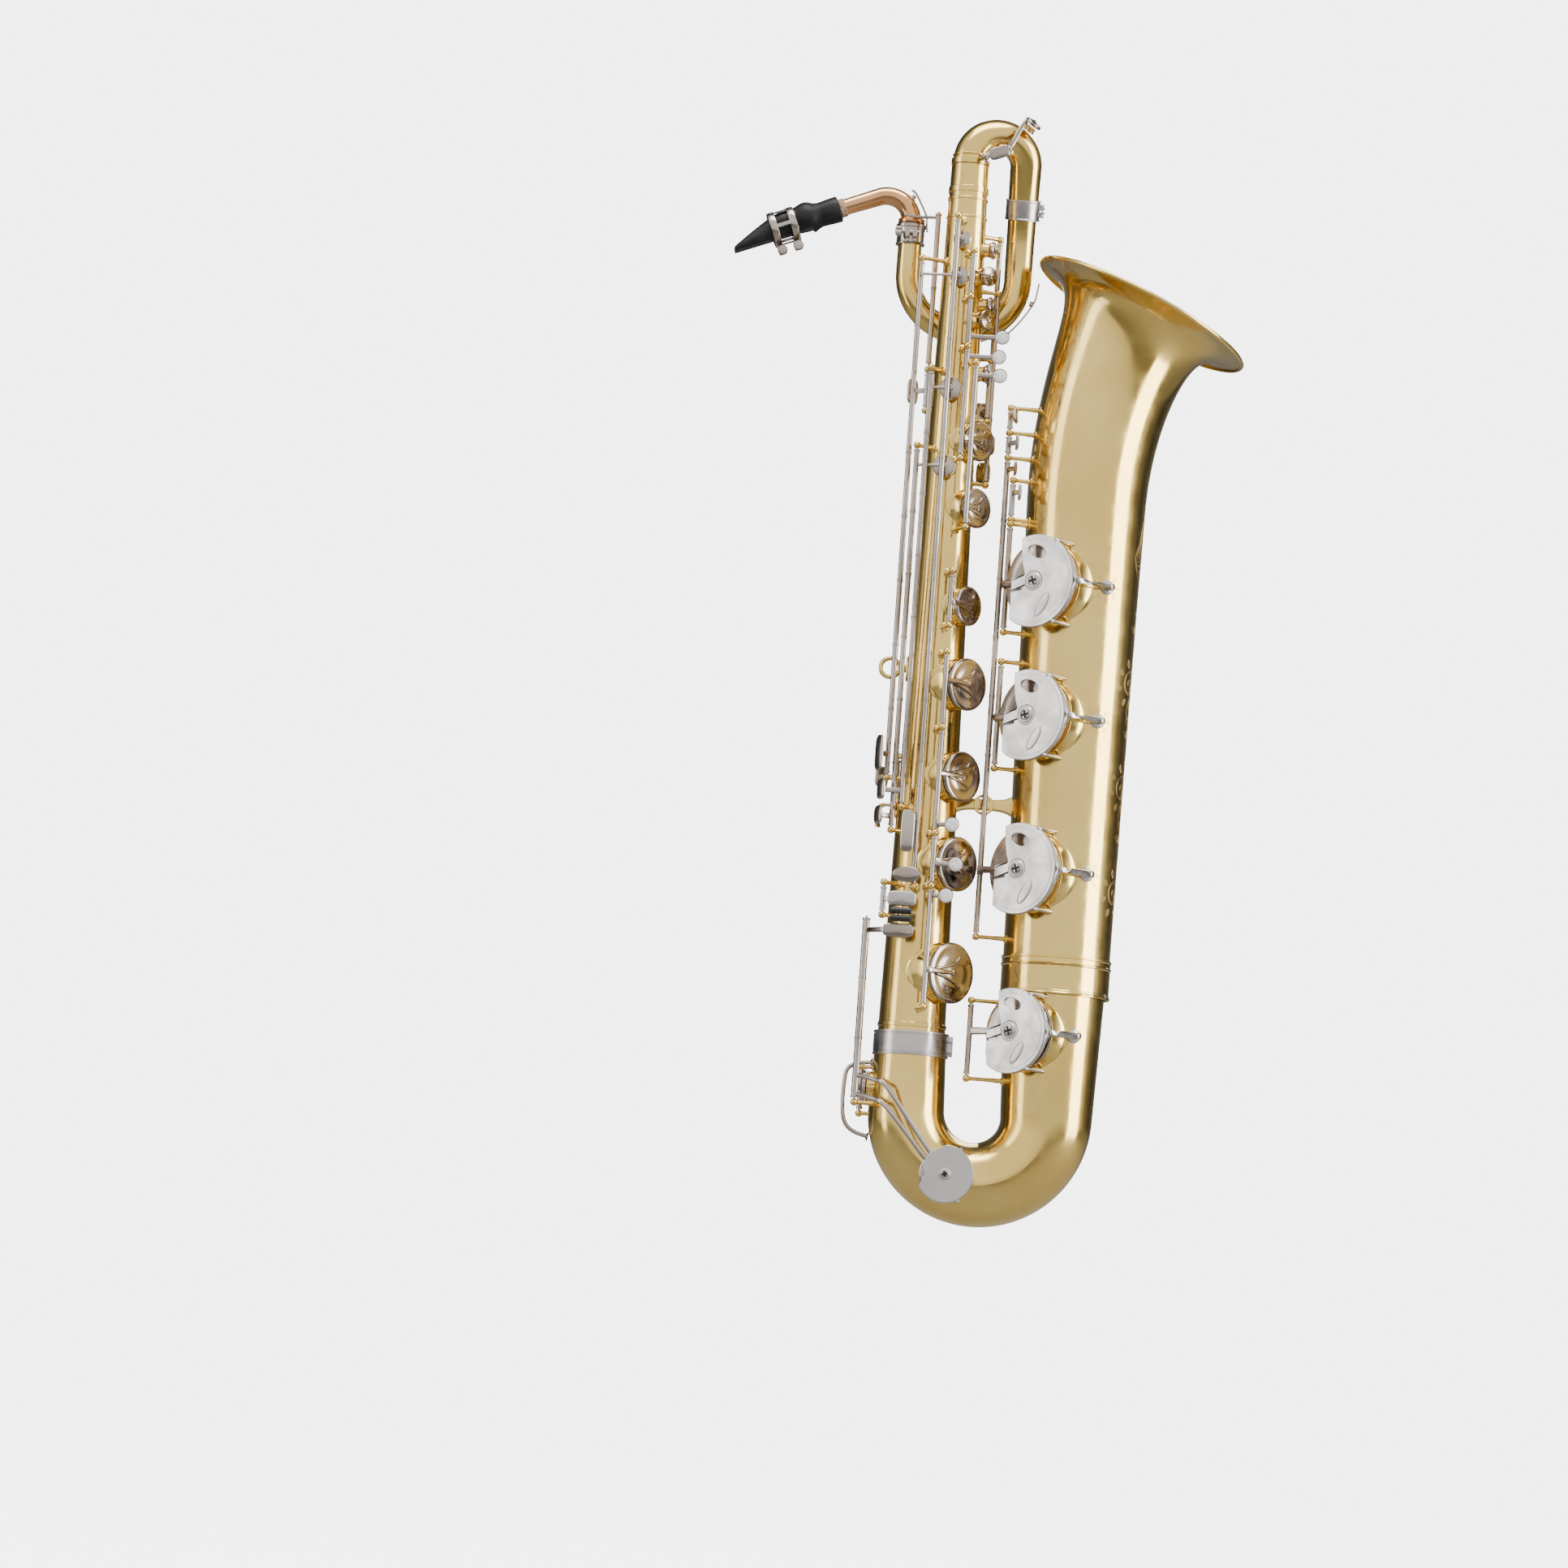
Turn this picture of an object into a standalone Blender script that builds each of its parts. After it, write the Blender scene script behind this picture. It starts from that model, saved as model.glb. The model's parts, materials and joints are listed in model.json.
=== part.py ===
"""Low-A baritone saxophone as an assembly of separate named pieces.

All sizes are in millimetres and become metres in make_object().  The body tube
stands along +Z, the bell is towards +X and the player's right side is -Y.
Everything hangs from one empty, which puts the strap ring at the origin.
"""
import math

import bmesh
import bpy
from mathutils import Matrix, Vector

MM = 0.001
GAP = 0.3            # clearance between neighbouring pieces

# --- body tube -------------------------------------------------------------
BODY_LENGTH = 841.0  # from the body-to-bow joint up to the top bow
BODY_FOOT_R = 32.0   # outer radius at the bottom end
BODY_HEAD_R = 18.0   # outer radius at the top end
WALL = 1.2           # tube wall
# --- bottom bow ------------------------------------------------------------
BELL_X = 132.0       # distance between body axis and bell axis
BOW_DROP = 65.0      # straight leg below the body joint before the bend
BOW_LEG = 51.0       # height of the bow-to-bell joint above the body joint
BOW_FOOT_R = 33.5    # bow radius where it leaves the body
BOW_BELL_R = 47.5    # bow radius where it meets the bell
# --- bell ------------------------------------------------------------------
BELL_STRAIGHT = 469.0   # straight length above the bow joint
BELL_BEND_R = 461.0     # radius of the forward bend of the bell axis
BELL_TILT = 24.2        # degrees the bell mouth leans forward
BELL_RIM_R = 107.5      # radius of the bell mouth
BELL_THROAT_R = 51.0    # radius the flare starts from
BELL_TAPER = 0.007      # loss of radius per millimetre down the bell
FLARE_SHARP = 3.06      # how fast the flare opens at the rim
RIM_BEAD_R = 2.4        # rolled wire at the bell mouth
# --- upper loop ------------------------------------------------------------
TOP_BOW_R = 27.0     # bend radius of the top bow
LOOP_DROP = 106.0    # straight right leg under the top bow
LOOP_BEND_R = 53.0   # bend radius of the lower loop
LOOP_RISE = 33.0     # straight left leg up to the neck receiver
LOOP_BACK = 38.0     # how far the lower loop lies behind the body axis
TOP_BOW_TUBE_R = 17.0
TOP_BOW_END_R = 14.6
LOOP_TUBE_R = 14.0
LOOP_END_R = 11.5
CLAMP_DROP = 38.0    # loop clamp below the top bow's end
# --- neck and mouthpiece ---------------------------------------------------
NECK_R = 9.8         # neck tube radius at the receiver
NECK_TIP_R = 7.4     # neck tube radius at the cork
RECEIVER_R = 14.0
RECEIVER_H = 20.0
NECK_RISE = 17.0     # straight neck above the receiver
NECK_BEND_R = 24.0
NECK_STRAIGHT = 58.0 # from the bend to the tip inside the cork
CORK_LENGTH = 24.0
CORK_T = 0.74        # cork over the thick end of the neck under it
CORK_R = 0.1 + NECK_R - (NECK_R - NECK_TIP_R) * 0.6 + CORK_T
MOUTH_LENGTH = 109.0
MOUTH_R = 13.6       # mouthpiece body radius
MOUTH_SHANK_R = 12.6
MOUTH_BULGE = 2.6       # how far its swelling stands over the body radius
MOUTH_DROP = 21.0    # degrees the mouthpiece points below level
TABLE = -11.0        # height of the flat table under the mouthpiece axis
LIGATURE_L = 26.0
LIGATURE_T = 1.2
LIGATURE_AT = 57.0   # middle of the ligature from the shank end
LIGATURE_R = 16.0    # inner radius, clear of the mouthpiece, with room for a reed
LIGATURE_LOW = 1.5   # its middle lies this far under the mouthpiece axis
LUG_REACH = 24.0     # thumbscrews under the mouthpiece axis
# --- keywork ---------------------------------------------------------------
ROD_R = 2.6
POST_R = 2.2
BALL_R = 3.6         # round head of a post
POST_ROOT = 2.2      # depth a post starts below the tube surface
CHIMNEY_H = 6.0      # chimney height above the tube's crown
CHIMNEY_W = 1.6
CUP_T = 5.0
PAD_SEAT = 0.4       # closed pad to chimney
GUARD_T = 2.0
ARM_W = 5.0
ARM_T = 3.0
PEARL_R = 7.0
PEARL_T = 3.0
ROLLER_R = 3.2

ROLLER_Z = 114.8     # between the two little-finger rollers
TOUCH_C_Z = 100.0    # low C touch
REST_Z = 582.0       # height of the thumb rest on the body
STRAP_Z = 353.0      # height of the strap ring on the body
RING_R = 9.0         # strap ring, middle of its wire
RING_WIRE = 2.2
SIDES = 16           # sides of the large tubes
BELL_SIDES = 24      # sides of the bell
LOOP_SIDES = 12      # sides of the upper loop and the neck
SMALL = 6            # sides of rods and other small rounds

UP = Vector((0.0, 0.0, 1.0))


# --- materials --------------------------------------------------------------
def finish(name, color, metallic, roughness):
    """Principled material with one colour, metal value and roughness."""
    mat = bpy.data.materials.new(name)
    mat.use_nodes = True
    bsdf = mat.node_tree.nodes["Principled BSDF"]
    bsdf.inputs["Base Color"].default_value = (*color, 1.0)
    bsdf.inputs["Metallic"].default_value = metallic
    bsdf.inputs["Roughness"].default_value = roughness
    return mat


FINISHES = {
    "lacquer": ((0.69, 0.51, 0.20), 1.0, 0.18),
    "nickel": ((0.55, 0.51, 0.47), 1.0, 0.22),
    "copper": ((0.60, 0.38, 0.20), 1.0, 0.2),
    "cork": ((0.50, 0.29, 0.16), 0.0, 0.8),
    "ebonite": ((0.02, 0.02, 0.022), 0.0, 0.3),
    "roller": ((0.015, 0.015, 0.015), 0.0, 0.35),
}


# --- mesh helpers -----------------------------------------------------------
def loft(rings, closed=False):
    """Closed mesh through rings of points; closed joins the last to the first."""
    bm = bmesh.new()
    rows = [[bm.verts.new(p) for p in ring] for ring in rings]
    count = len(rows[0])
    pairs = list(zip(rows, rows[1:]))
    if closed:
        pairs.append((rows[-1], rows[0]))
    for low, high in pairs:
        for i in range(count):
            j = (i + 1) % count
            bm.faces.new((low[i], low[j], high[j], high[i]))
    if not closed:
        bm.faces.new(rows[0])
        bm.faces.new(rows[-1])
    bmesh.ops.recalc_face_normals(bm, faces=bm.faces)
    return bm


def circle(center, axis, radius, sides, ref=Vector((0.0, 1.0, 0.0))):
    """Ring of points round an axis."""
    axis = axis.normalized()
    if abs(axis.dot(ref)) > 0.95:
        ref = Vector((1.0, 0.0, 0.0))
    u = (ref - axis * ref.dot(axis)).normalized()
    v = axis.cross(u)
    turn = 2.0 * math.pi / sides
    return [center + radius * (math.cos(i * turn) * u + math.sin(i * turn) * v)
            for i in range(sides)]


def tangents(path):
    """Unit direction at each point of a path."""
    out = []
    for i in range(len(path)):
        a = path[max(i - 1, 0)]
        b = path[min(i + 1, len(path) - 1)]
        out.append((b - a).normalized())
    return out


def sweep(path, radii, sides=SIDES):
    """Solid round bar along a path."""
    return loft([circle(p, t, r, sides) for p, t, r in zip(path, tangents(path), radii)])


def rod(a, b, radius, sides=SMALL, tip=None):
    """Straight round bar from a to b, tapering to the radius tip."""
    end = radius if tip is None else tip
    return loft([circle(a, b - a, radius, sides), circle(b, b - a, end, sides)])


def turned(center, axis, profile, sides):
    """Solid of revolution: profile is (height, radius) along the axis."""
    axis = axis.normalized()
    return loft([circle(center + axis * h, axis, r, sides) for h, r in profile])


def bar(a, b, width, thick, flat):
    """Rectangular bar from a to b; flat is the direction of its thickness."""
    along = (b - a).normalized()
    f = (flat - along * flat.dot(along)).normalized() * thick / 2
    w = along.cross(f).normalized() * width / 2
    return loft([[p + f + w, p + f - w, p - f - w, p - f + w] for p in (a, b)])


def plate(outline, depth):
    """Flat plate: an outline of points extruded by the vector depth."""
    return loft([outline, [p + depth for p in outline]])


def ring_band(center, axis, inner, outer, height, sides=SIDES):
    """Flat band round an axis, open through the middle."""
    axis = axis.normalized()
    low = center - axis * height / 2
    high = center + axis * height / 2
    corner = 1.0 / math.cos(math.pi / sides)
    inner, outer = inner * corner, outer * corner
    rings = [circle(low, axis, outer, sides), circle(high, axis, outer, sides),
             circle(high, axis, inner, sides), circle(low, axis, inner, sides)]
    return loft(rings, closed=True)


def wire_ring(center, axis, radius, wire, sides=12):
    """Closed ring of round wire."""
    axis = axis.normalized()
    rings = []
    for p in circle(center, axis, radius, sides):
        out = (p - center).normalized()
        rings.append([p + wire * (math.cos(a) * out + math.sin(a) * axis)
                      for a in (k * math.pi / 2.5 for k in range(5))])
    return loft(rings, closed=True)


def make_object(name, bm, material=None, parent=None):
    """Object in metres from a mesh in millimetres."""
    bmesh.ops.scale(bm, vec=(MM, MM, MM), verts=bm.verts)
    mesh = bpy.data.meshes.new(name)
    bm.to_mesh(mesh)
    bm.free()
    obj = bpy.data.objects.new(name, mesh)
    bpy.context.scene.collection.objects.link(obj)
    obj.parent = parent
    if material:
        mesh.materials.append(material)
        mesh.shade_smooth()
        mesh.set_sharp_from_angle(angle=math.radians(35))
    return obj


class Workshop:
    """Makes each named piece and keeps what the pieces share."""

    def __init__(self):
        for obj in list(bpy.data.objects):
            bpy.data.objects.remove(obj)
        self.frame = bpy.data.objects.new("sax_frame", None)
        bpy.context.scene.collection.objects.link(self.frame)
        self.frame.location = -strap_ring_center() * MM
        self.mats = {k: finish(k, *v) for k, v in FINISHES.items()}

    def piece(self, name, material, base, adds=(), cuts=()):
        """One named piece: base plus adds minus cuts, by exact Booleans."""
        obj = make_object(name, base, self.mats[material], self.frame)
        jobs = [("UNION", bm) for bm in adds] + [("DIFFERENCE", bm) for bm in cuts]
        for n, (kind, bm) in enumerate(jobs):
            tool = make_object(f"{name}_tool_{n}", bm, parent=self.frame)
            tool.hide_render = True
            tool.display_type = "WIRE"
            mod = obj.modifiers.new(f"{kind.lower()}_{n}", "BOOLEAN")
            mod.operation = kind
            mod.object = tool
            mod.solver = "EXACT"
        return obj


# --- tube geometry ----------------------------------------------------------
def body_r(z):
    """Outer radius of the body tube at height z."""
    return BODY_FOOT_R + (BODY_HEAD_R - BODY_FOOT_R) * z / BODY_LENGTH


def bell_axis_length():
    return BELL_STRAIGHT + BELL_BEND_R * math.radians(BELL_TILT)


def bell_point(s):
    """Point and direction of the bell axis, s millimetres above the bow joint."""
    base = BOW_LEG + BELL_STRAIGHT
    if s <= BELL_STRAIGHT:
        return Vector((BELL_X, 0.0, BOW_LEG + s)), UP.copy()
    a = (s - BELL_STRAIGHT) / BELL_BEND_R
    x = BELL_X + BELL_BEND_R * (1.0 - math.cos(a))
    return Vector((x, 0.0, base + BELL_BEND_R * math.sin(a))), Vector((math.sin(a), 0.0, math.cos(a)))


def bell_r(s):
    """Outer radius of the bell: a slow taper plus a flare towards the rim."""
    d = bell_axis_length() - s
    flare = (BELL_RIM_R - BELL_THROAT_R) * math.sqrt(FLARE_SHARP / (d + FLARE_SHARP))
    return BELL_THROAT_R - BELL_TAPER * d + flare


def bow_r(t):
    """Outer radius of the bottom bow, t from 0 at the body to 1 at the bell."""
    return BOW_FOOT_R + (BOW_BELL_R - BOW_FOOT_R) * t


def bow_length():
    return BOW_DROP + math.pi * BELL_X / 2 + BOW_DROP + BOW_LEG


def bow_leg_r(z):
    """Outer radius of the bow's bell-side leg at height z."""
    return bow_r((bow_length() - BOW_LEG + z) / bow_length())


def arc(center, radius, start, end, steps):
    """Points of an arc in the XZ plane; angles in degrees from +X towards +Z."""
    out = []
    for k in range(steps + 1):
        a = math.radians(start + (end - start) * k / steps)
        out.append(center + radius * Vector((math.cos(a), 0.0, math.sin(a))))
    return out


def along(path):
    """Share of the whole length at each point of a path."""
    steps = [0.0]
    for a, b in zip(path, path[1:]):
        steps.append(steps[-1] + (b - a).length)
    return [s / steps[-1] for s in steps]


def bow_path():
    bend = Vector((BELL_X / 2, 0.0, -BOW_DROP))
    curve = arc(bend, BELL_X / 2, 180.0, 360.0, 8)
    return [Vector((0.0, 0.0, -GAP))] + curve + [Vector((BELL_X, 0.0, BOW_LEG - GAP))]


def smooth(t):
    t = min(max(t, 0.0), 1.0)
    return t * t * (3.0 - 2.0 * t)


def loop_paths():
    """Paths of the top bow and of the lower loop, split at the loop clamp."""
    top = Vector((TOP_BOW_R, 0.0, BODY_LENGTH + 6.0))
    leg_x = 2.0 * TOP_BOW_R
    low_z = top.z - LOOP_DROP
    first = [Vector((0.0, 0.0, BODY_LENGTH + GAP))] + arc(top, TOP_BOW_R, 180.0, 0.0, 8)
    first.append(Vector((leg_x, 0.0, top.z - CLAMP_DROP)))
    bend = Vector((leg_x - LOOP_BEND_R, 0.0, low_z))
    second = [Vector((leg_x, 0.0, top.z - CLAMP_DROP - 2 * GAP)), Vector((leg_x, 0.0, low_z + 30.0))]
    second += arc(bend, LOOP_BEND_R, 0.0, -180.0, 8)
    second.append(Vector((leg_x - 2 * LOOP_BEND_R, 0.0, low_z + LOOP_RISE)))
    whole = LOOP_DROP + math.pi * TOP_BOW_R
    run = 0.0
    last = first[0]
    for p in first + second:
        run += (Vector((p.x, 0.0, p.z)) - last).length
        last = Vector((p.x, 0.0, p.z))
        p.y = LOOP_BACK * smooth(run / whole)
    return first, second


def tapered(path, start, end):
    return [start + (end - start) * t for t in along(path)]


def neck_path():
    """Neck axis: up out of the receiver, over a bend, then down to the cork."""
    foot = loop_paths()[1][-1]
    base = Vector((foot.x, foot.y, foot.z + 2 * GAP))
    rise = Vector((foot.x, foot.y, foot.z + NECK_RISE))
    center = rise - Vector((NECK_BEND_R, 0.0, 0.0))
    curve = arc(center, NECK_BEND_R, 0.0, 90.0 + MOUTH_DROP, 6)
    return [base] + curve + [curve[-1] + mouth_axis() * NECK_STRAIGHT]


def mouth_axis():
    a = math.radians(MOUTH_DROP)
    return Vector((-math.cos(a), 0.0, -math.sin(a)))


def mouth_up():
    a = math.radians(MOUTH_DROP)
    return Vector((-math.sin(a), 0.0, math.cos(a)))


def strap_ring_center():
    """Middle of the strap ring on the back of the body tube."""
    reach = body_r(STRAP_Z) + 2 * GAP + 8.0 + RING_R
    return Vector((-reach, 0.0, STRAP_Z))


# --- keys -------------------------------------------------------------------
def facing(phi):
    """Outward direction of a tone hole, phi degrees from -Y towards +X."""
    a = math.radians(phi)
    return Vector((math.sin(a), -math.cos(a), 0.0))


TUBES = {
    "body": (0.0, body_r),
    "bell": (BELL_X, lambda z: bell_r(z - BOW_LEG)),
    "bow": (BELL_X, bow_leg_r),
}

P_LINE = (54.0, -14.0)      # outer bell rod
Q_LINE = (60.5, -19.0)      # inner bell rod
LOW_LINE = (8.0, -51.0)     # lower stack rod
UP_LINE = (8.0, -42.0)      # upper stack rod
UP2_LINE = (17.0, -45.0)    # second upper stack rod
S1_LINE = (-33.0, -27.0)    # side key rods
S2_LINE = (-25.0, -34.5)
S3_LINE = (-40.5, -19.0)
S4_LINE = (-9.0, -45.0)
T1_LINE = (32.0, 5.0)       # palm key rods
T2_LINE = (35.0, 12.0)
T3_LINE = (34.0, 19.5)

# name: tube, cup height, cup radius, facing, opening in degrees (0 is closed at
# rest), hinge line, rod foot, rod head
CUP_KEYS = {
    "key_low_a": ("bell", 437.0, 41.0, -37.0, 5.5, Q_LINE, 396.0, 492.0),
    "key_low_bflat": ("bell", 310.0, 40.0, -37.0, 5.5, Q_LINE, 266.0, 360.0),
    "key_low_b": ("bell", 165.0, 40.0, -37.0, 5.5, P_LINE, 106.0, 556.0),
    "key_low_csharp": ("bow", 13.0, 37.0, -37.0, 0.0, P_LINE, -28.0, 38.0),
    "key_d": ("body", 65.0, 29.0, 50.0, 6.0, LOW_LINE, 34.0, 140.0),
    "key_e": ("body", 168.0, 26.0, 50.0, 6.0, LOW_LINE, 148.0, 190.0),
    "key_f": ("body", 251.0, 24.0, 50.0, 6.0, LOW_LINE, 198.0, 290.0),
    "key_fsharp": ("body", 339.0, 25.0, 50.0, 6.0, LOW_LINE, 298.0, 362.0),
    "key_gsharp": ("body", 414.0, 19.0, 50.0, 0.0, UP_LINE, 396.0, 440.0),
    "key_g": ("body", 508.0, 19.0, 50.0, 6.0, UP2_LINE, 490.0, 640.0),
    "key_a": ("body", 572.0, 19.0, 50.0, 6.0, UP_LINE, 556.0, 656.0),
    "key_c": ("body", 690.0, 9.5, 50.0, 8.0, UP_LINE, 664.0, 704.0),
    "key_bis": ("body", 732.0, 9.5, 50.0, 8.0, UP_LINE, 712.0, 748.0),
    "key_side_bflat": ("body", 545.0, 11.0, -12.0, 0.0, S1_LINE, 200.0, 560.0),
    "key_side_c": ("body", 620.0, 11.0, -10.0, 0.0, S2_LINE, 222.0, 634.0),
    "key_high_e": ("body", 729.0, 9.0, -8.0, 0.0, S3_LINE, 250.0, 742.0),
    "key_high_fsharp": ("body", 765.0, 8.5, -8.0, 0.0, S4_LINE, 146.0, 780.0),
    "key_palm_d": ("body", 640.0, 9.0, 78.0, 0.0, T1_LINE, 600.0, 652.0),
    "key_palm_eflat": ("body", 706.0, 9.0, 78.0, 0.0, T2_LINE, 540.0, 718.0),
    "key_palm_f": ("body", 760.0, 8.5, 78.0, 0.0, T3_LINE, 570.0, 772.0),
}
# a long rod made in two lengths: height of the joint between its touch and its cup
SPLIT_RODS = {"key_side_c": 604.0}
OCTAVE_FOOT = 650.0
OCTAVE_HEAD = 796.0    # the crook passes just over the neck receiver
CLOSED_LIFT = 6.0      # degrees a closed key opens when it is pressed

C_LINE = (-50.0, -22.0)     # low C rod
E_LINE = (-44.0, 22.0)      # low E flat rod
A_LINE = (-30.0, 26.0)      # low A thumb rod
OC_LINE = (-27.0, 12.0)     # octave rod
EF_LINE = (-36.0, -32.0)    # low E flat touch rod

# pearl touches on the stack keys: height and place of the pearl's middle
PEARLS = {
    "key_d": (135.0, (22.0, -58.0)),
    "key_e": (165.0, (29.0, -58.0)),
    "key_f": (202.0, (23.0, -58.0)),
    "key_c": (669.0, (40.0, -46.0)),
    "key_a": (650.0, (38.0, -46.0)),
    "key_g": (632.0, (40.0, -46.0)),
}

# plate touches: height, middle (x, y), facing, width, height of the plate
PADDLES = {
    "key_low_b": (547.0, (61.0, -33.0), 90.0, 20.0, 13.0),
    "key_side_bflat": (209.0, (-46.0, -34.0), -60.0, 13.0, 17.0),
    "key_side_c": (233.0, (-45.0, -36.0), -60.0, 13.0, 19.0),
    "key_high_e": (268.0, (-49.0, -30.0), -60.0, 13.0, 34.0),
    "key_high_fsharp": (194.0, (-18.0, -52.0), -12.0, 13.0, 40.0),
    "key_palm_d": (608.0, (27.0, 34.0), 175.0, 14.0, 22.0),
    "key_palm_eflat": (551.0, (33.0, 37.0), 165.0, 14.0, 22.0),
    "key_palm_f": (580.0, (36.0, 41.0), 160.0, 14.0, 20.0),
}

# a second plate touch on the same rod, laid out as above
SECOND_PADDLES = {"key_high_fsharp": (153.0, (-16.0, -52.0), -12.0, 27.0, 15.0)}

# touches that turn by themselves and drive a key elsewhere:
# tube, hinge line, rod foot, rod head, paddle as above
DRIVERS = {
    "touch_low_bflat": ("bell", Q_LINE, 504.0, 534.0, (524.0, (66.5, -37.0), 90.0, 18.0, 15.0)),
    "touch_low_csharp": ("bell", P_LINE, 564.0, 580.0, (572.0, (61.0, -33.0), 90.0, 20.0, 14.0)),
    "touch_gsharp": ("bell", P_LINE, 588.0, 604.0, (598.0, (58.0, -36.0), 80.0, 22.0, 16.0)),
    "touch_low_a": ("body", A_LINE, 236.0, 268.0, (252.0, (-44.0, 34.0), -140.0, 16.0, 20.0)),
    "touch_low_eflat": ("body", EF_LINE, 119.0, 142.0, (130.0, (-19.0, -50.0), -5.0, 27.0, 14.0)),
    "octave_lever": ("body", OC_LINE, 608.0, 640.0, (624.0, (-40.0, 26.0), -130.0, 16.0, 24.0)),
}

GUARDS = ("low_a", "low_bflat", "low_b", "low_csharp")
GUARD_OVER = 3.0       # guard radius beyond its cup
GUARD_RISE = 16.5      # guard above the chimney top
GUARD_FLAT = 26.0      # straight edge of the guard on the rod side
LEG_TURN = 60.0        # degrees round the guard where its two legs stand
GUARD_FOOT = 24.0      # degrees round the bell where the front foot lands

LOW_C_AT = 65.0        # degrees round the bottom bow of the low C tone hole
LOW_C_R = 22.0
LOW_C_OPEN = 4.0       # degrees the low C key stands open
EFLAT_Z = -46.0
EFLAT_R = 17.0
LOW_PIVOTS = {"key_low_c": (-58.0, 112.0), "key_low_eflat": (-66.0, -30.0)}


def line_at(line, z):
    return Vector((line[0], line[1], z))


def tube_center(tube, z):
    """Point of a tube's axis at height z; the bell's axis leans forward near its top."""
    lean = max(z - BOW_LEG - BELL_STRAIGHT, 0.0) if tube == "bell" else 0.0
    shift = BELL_BEND_R - math.sqrt(BELL_BEND_R ** 2 - lean ** 2)
    return Vector((TUBES[tube][0] + shift, 0.0, z))


def tone_seat(tube, z):
    """Distance from the tube's axis to the top of a chimney."""
    return TUBES[tube][1](z) + CHIMNEY_H


def chimney(center, out, tube_r, r):
    """Solid chimney and the hole through it, for a pad of radius r."""
    outer = r - 2.0
    start = math.sqrt(max(tube_r ** 2 - outer ** 2, 0.0)) - 3.0
    start = max(start, 2.0)
    top = tube_r + CHIMNEY_H
    sides = 12 if r > 15 else 6
    solid = turned(center, out, [(start, outer), (top, outer)], sides)
    inner = outer - CHIMNEY_W
    hole = turned(center, out, [(start - 1.5, inner), (top + 2.0, inner)], sides)
    return solid, hole


def cup_frame(name):
    """Seat centre, outward direction and turn of a cup at rest."""
    tube, z, r, phi, rest, line, foot, head = CUP_KEYS[name]
    out = facing(phi)
    seat = tube_center(tube, z) + out * (tone_seat(tube, z) + PAD_SEAT)
    pivot = line_at(line, z)
    arm = seat - pivot
    sign = 1.0 if UP.cross(arm).dot(out) > 0 else -1.0
    turn = Matrix.Translation(pivot) @ Matrix.Rotation(math.radians(rest) * sign, 4, "Z")
    turn = turn @ Matrix.Translation(-pivot)
    return seat, out, turn, sign


def moved(bm, matrix):
    bmesh.ops.transform(bm, matrix=matrix, verts=bm.verts)
    return bm


def cup_parts(name):
    """Cup and its arm from the rod, opened by the key's rest angle."""
    tube, z, r, phi, rest, line, foot, head = CUP_KEYS[name]
    seat, out, turn, _ = cup_frame(name)
    sides = 16 if r > 15 else 8
    profile = [(0.0, r), (CUP_T - 2.0, r), (CUP_T, r * 0.8)]
    cup = moved(turned(seat, out, profile, sides), turn)
    pivot = line_at(line, z)
    top = seat + out * (CUP_T - 0.5)
    rise = (top - pivot).dot(out)
    parts = [cup, moved(bar(pivot + out * rise, top, ARM_W, ARM_T, out), turn)]
    if abs(rise) > 1.0:
        end = pivot + out * (rise + math.copysign(1.0, rise))
        parts.append(moved(bar(pivot, end, ARM_W - 1.2, ARM_W - 0.6, UP), turn))
    return parts


def pearl_parts(line, z, place):
    middle = Vector((place[0], place[1], z))
    profile = [(-1.5, PEARL_R), (1.0, PEARL_R), (1.5, PEARL_R - 1.2)]
    disc = turned(middle, Vector((0.0, -1.0, 0.0)), profile, 10)
    arm = bar(line_at(line, z), middle, ARM_W - 1.0, ARM_T - 0.5, Vector((0.0, 1.0, 0.0)))
    return [disc, arm]


def paddle_parts(line, z, place, phi, width, height):
    """Flat plate touch with clipped corners and its arm to the rod."""
    out = facing(phi)
    side = UP.cross(out)
    middle = Vector((place[0], place[1], z))
    clip = 3.0
    w, h = width / 2, height / 2
    shape = [(-w, -h + clip), (-w + clip, -h), (w - clip, -h), (w, -h + clip),
             (w, h - clip), (w - clip, h), (-w + clip, h), (-w, h - clip)]
    outline = [middle + side * a + UP * b - out * 1.25 for a, b in shape]
    arm = bar(line_at(line, z), middle, ARM_W, ARM_T - 1.0, out)
    return [plate(outline, out * 2.5), arm]


def post_heights(line, tube):
    """Heights of the posts that carry the rods of one hinge line."""
    ends = []
    for t, z, r, phi, rest, where, foot, head in CUP_KEYS.values():
        if where == line and ("bell" if t == "bow" and z > BOW_LEG else t) == tube:
            ends += [foot - BALL_R - GAP, head + BALL_R + GAP]
    for t, where, foot, head, paddle in DRIVERS.values():
        if where == line and t == tube:
            ends += [foot - BALL_R - GAP, head + BALL_R + GAP]
    heights = []
    for z in sorted(ends):
        if not heights or z - heights[-1] > 3.0:
            heights.append(z)
    return heights


def post(center, target, tube_r):
    """Post from the tube wall to the hinge line, ending in its round head."""
    out = (target - center).normalized()
    reach = (target - center).length
    profile = [(tube_r - POST_ROOT, POST_R + 0.8), (reach - BALL_R, POST_R),
               (reach - BALL_R * 0.3, BALL_R), (reach + BALL_R * 0.9, POST_R)]
    return [turned(center, out, profile, 5)]


def posts_for(tube, lines):
    parts = []
    for line in lines:
        for z in post_heights(line, tube):
            parts += post(tube_center(tube, z), line_at(line, z), TUBES[tube][1](z))
    return parts


# --- the pieces -------------------------------------------------------------
BODY_LINES = (LOW_LINE, UP_LINE, UP2_LINE, S1_LINE, S2_LINE, S3_LINE, S4_LINE,
              T1_LINE, T2_LINE, T3_LINE, A_LINE, OC_LINE, EF_LINE)


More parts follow.
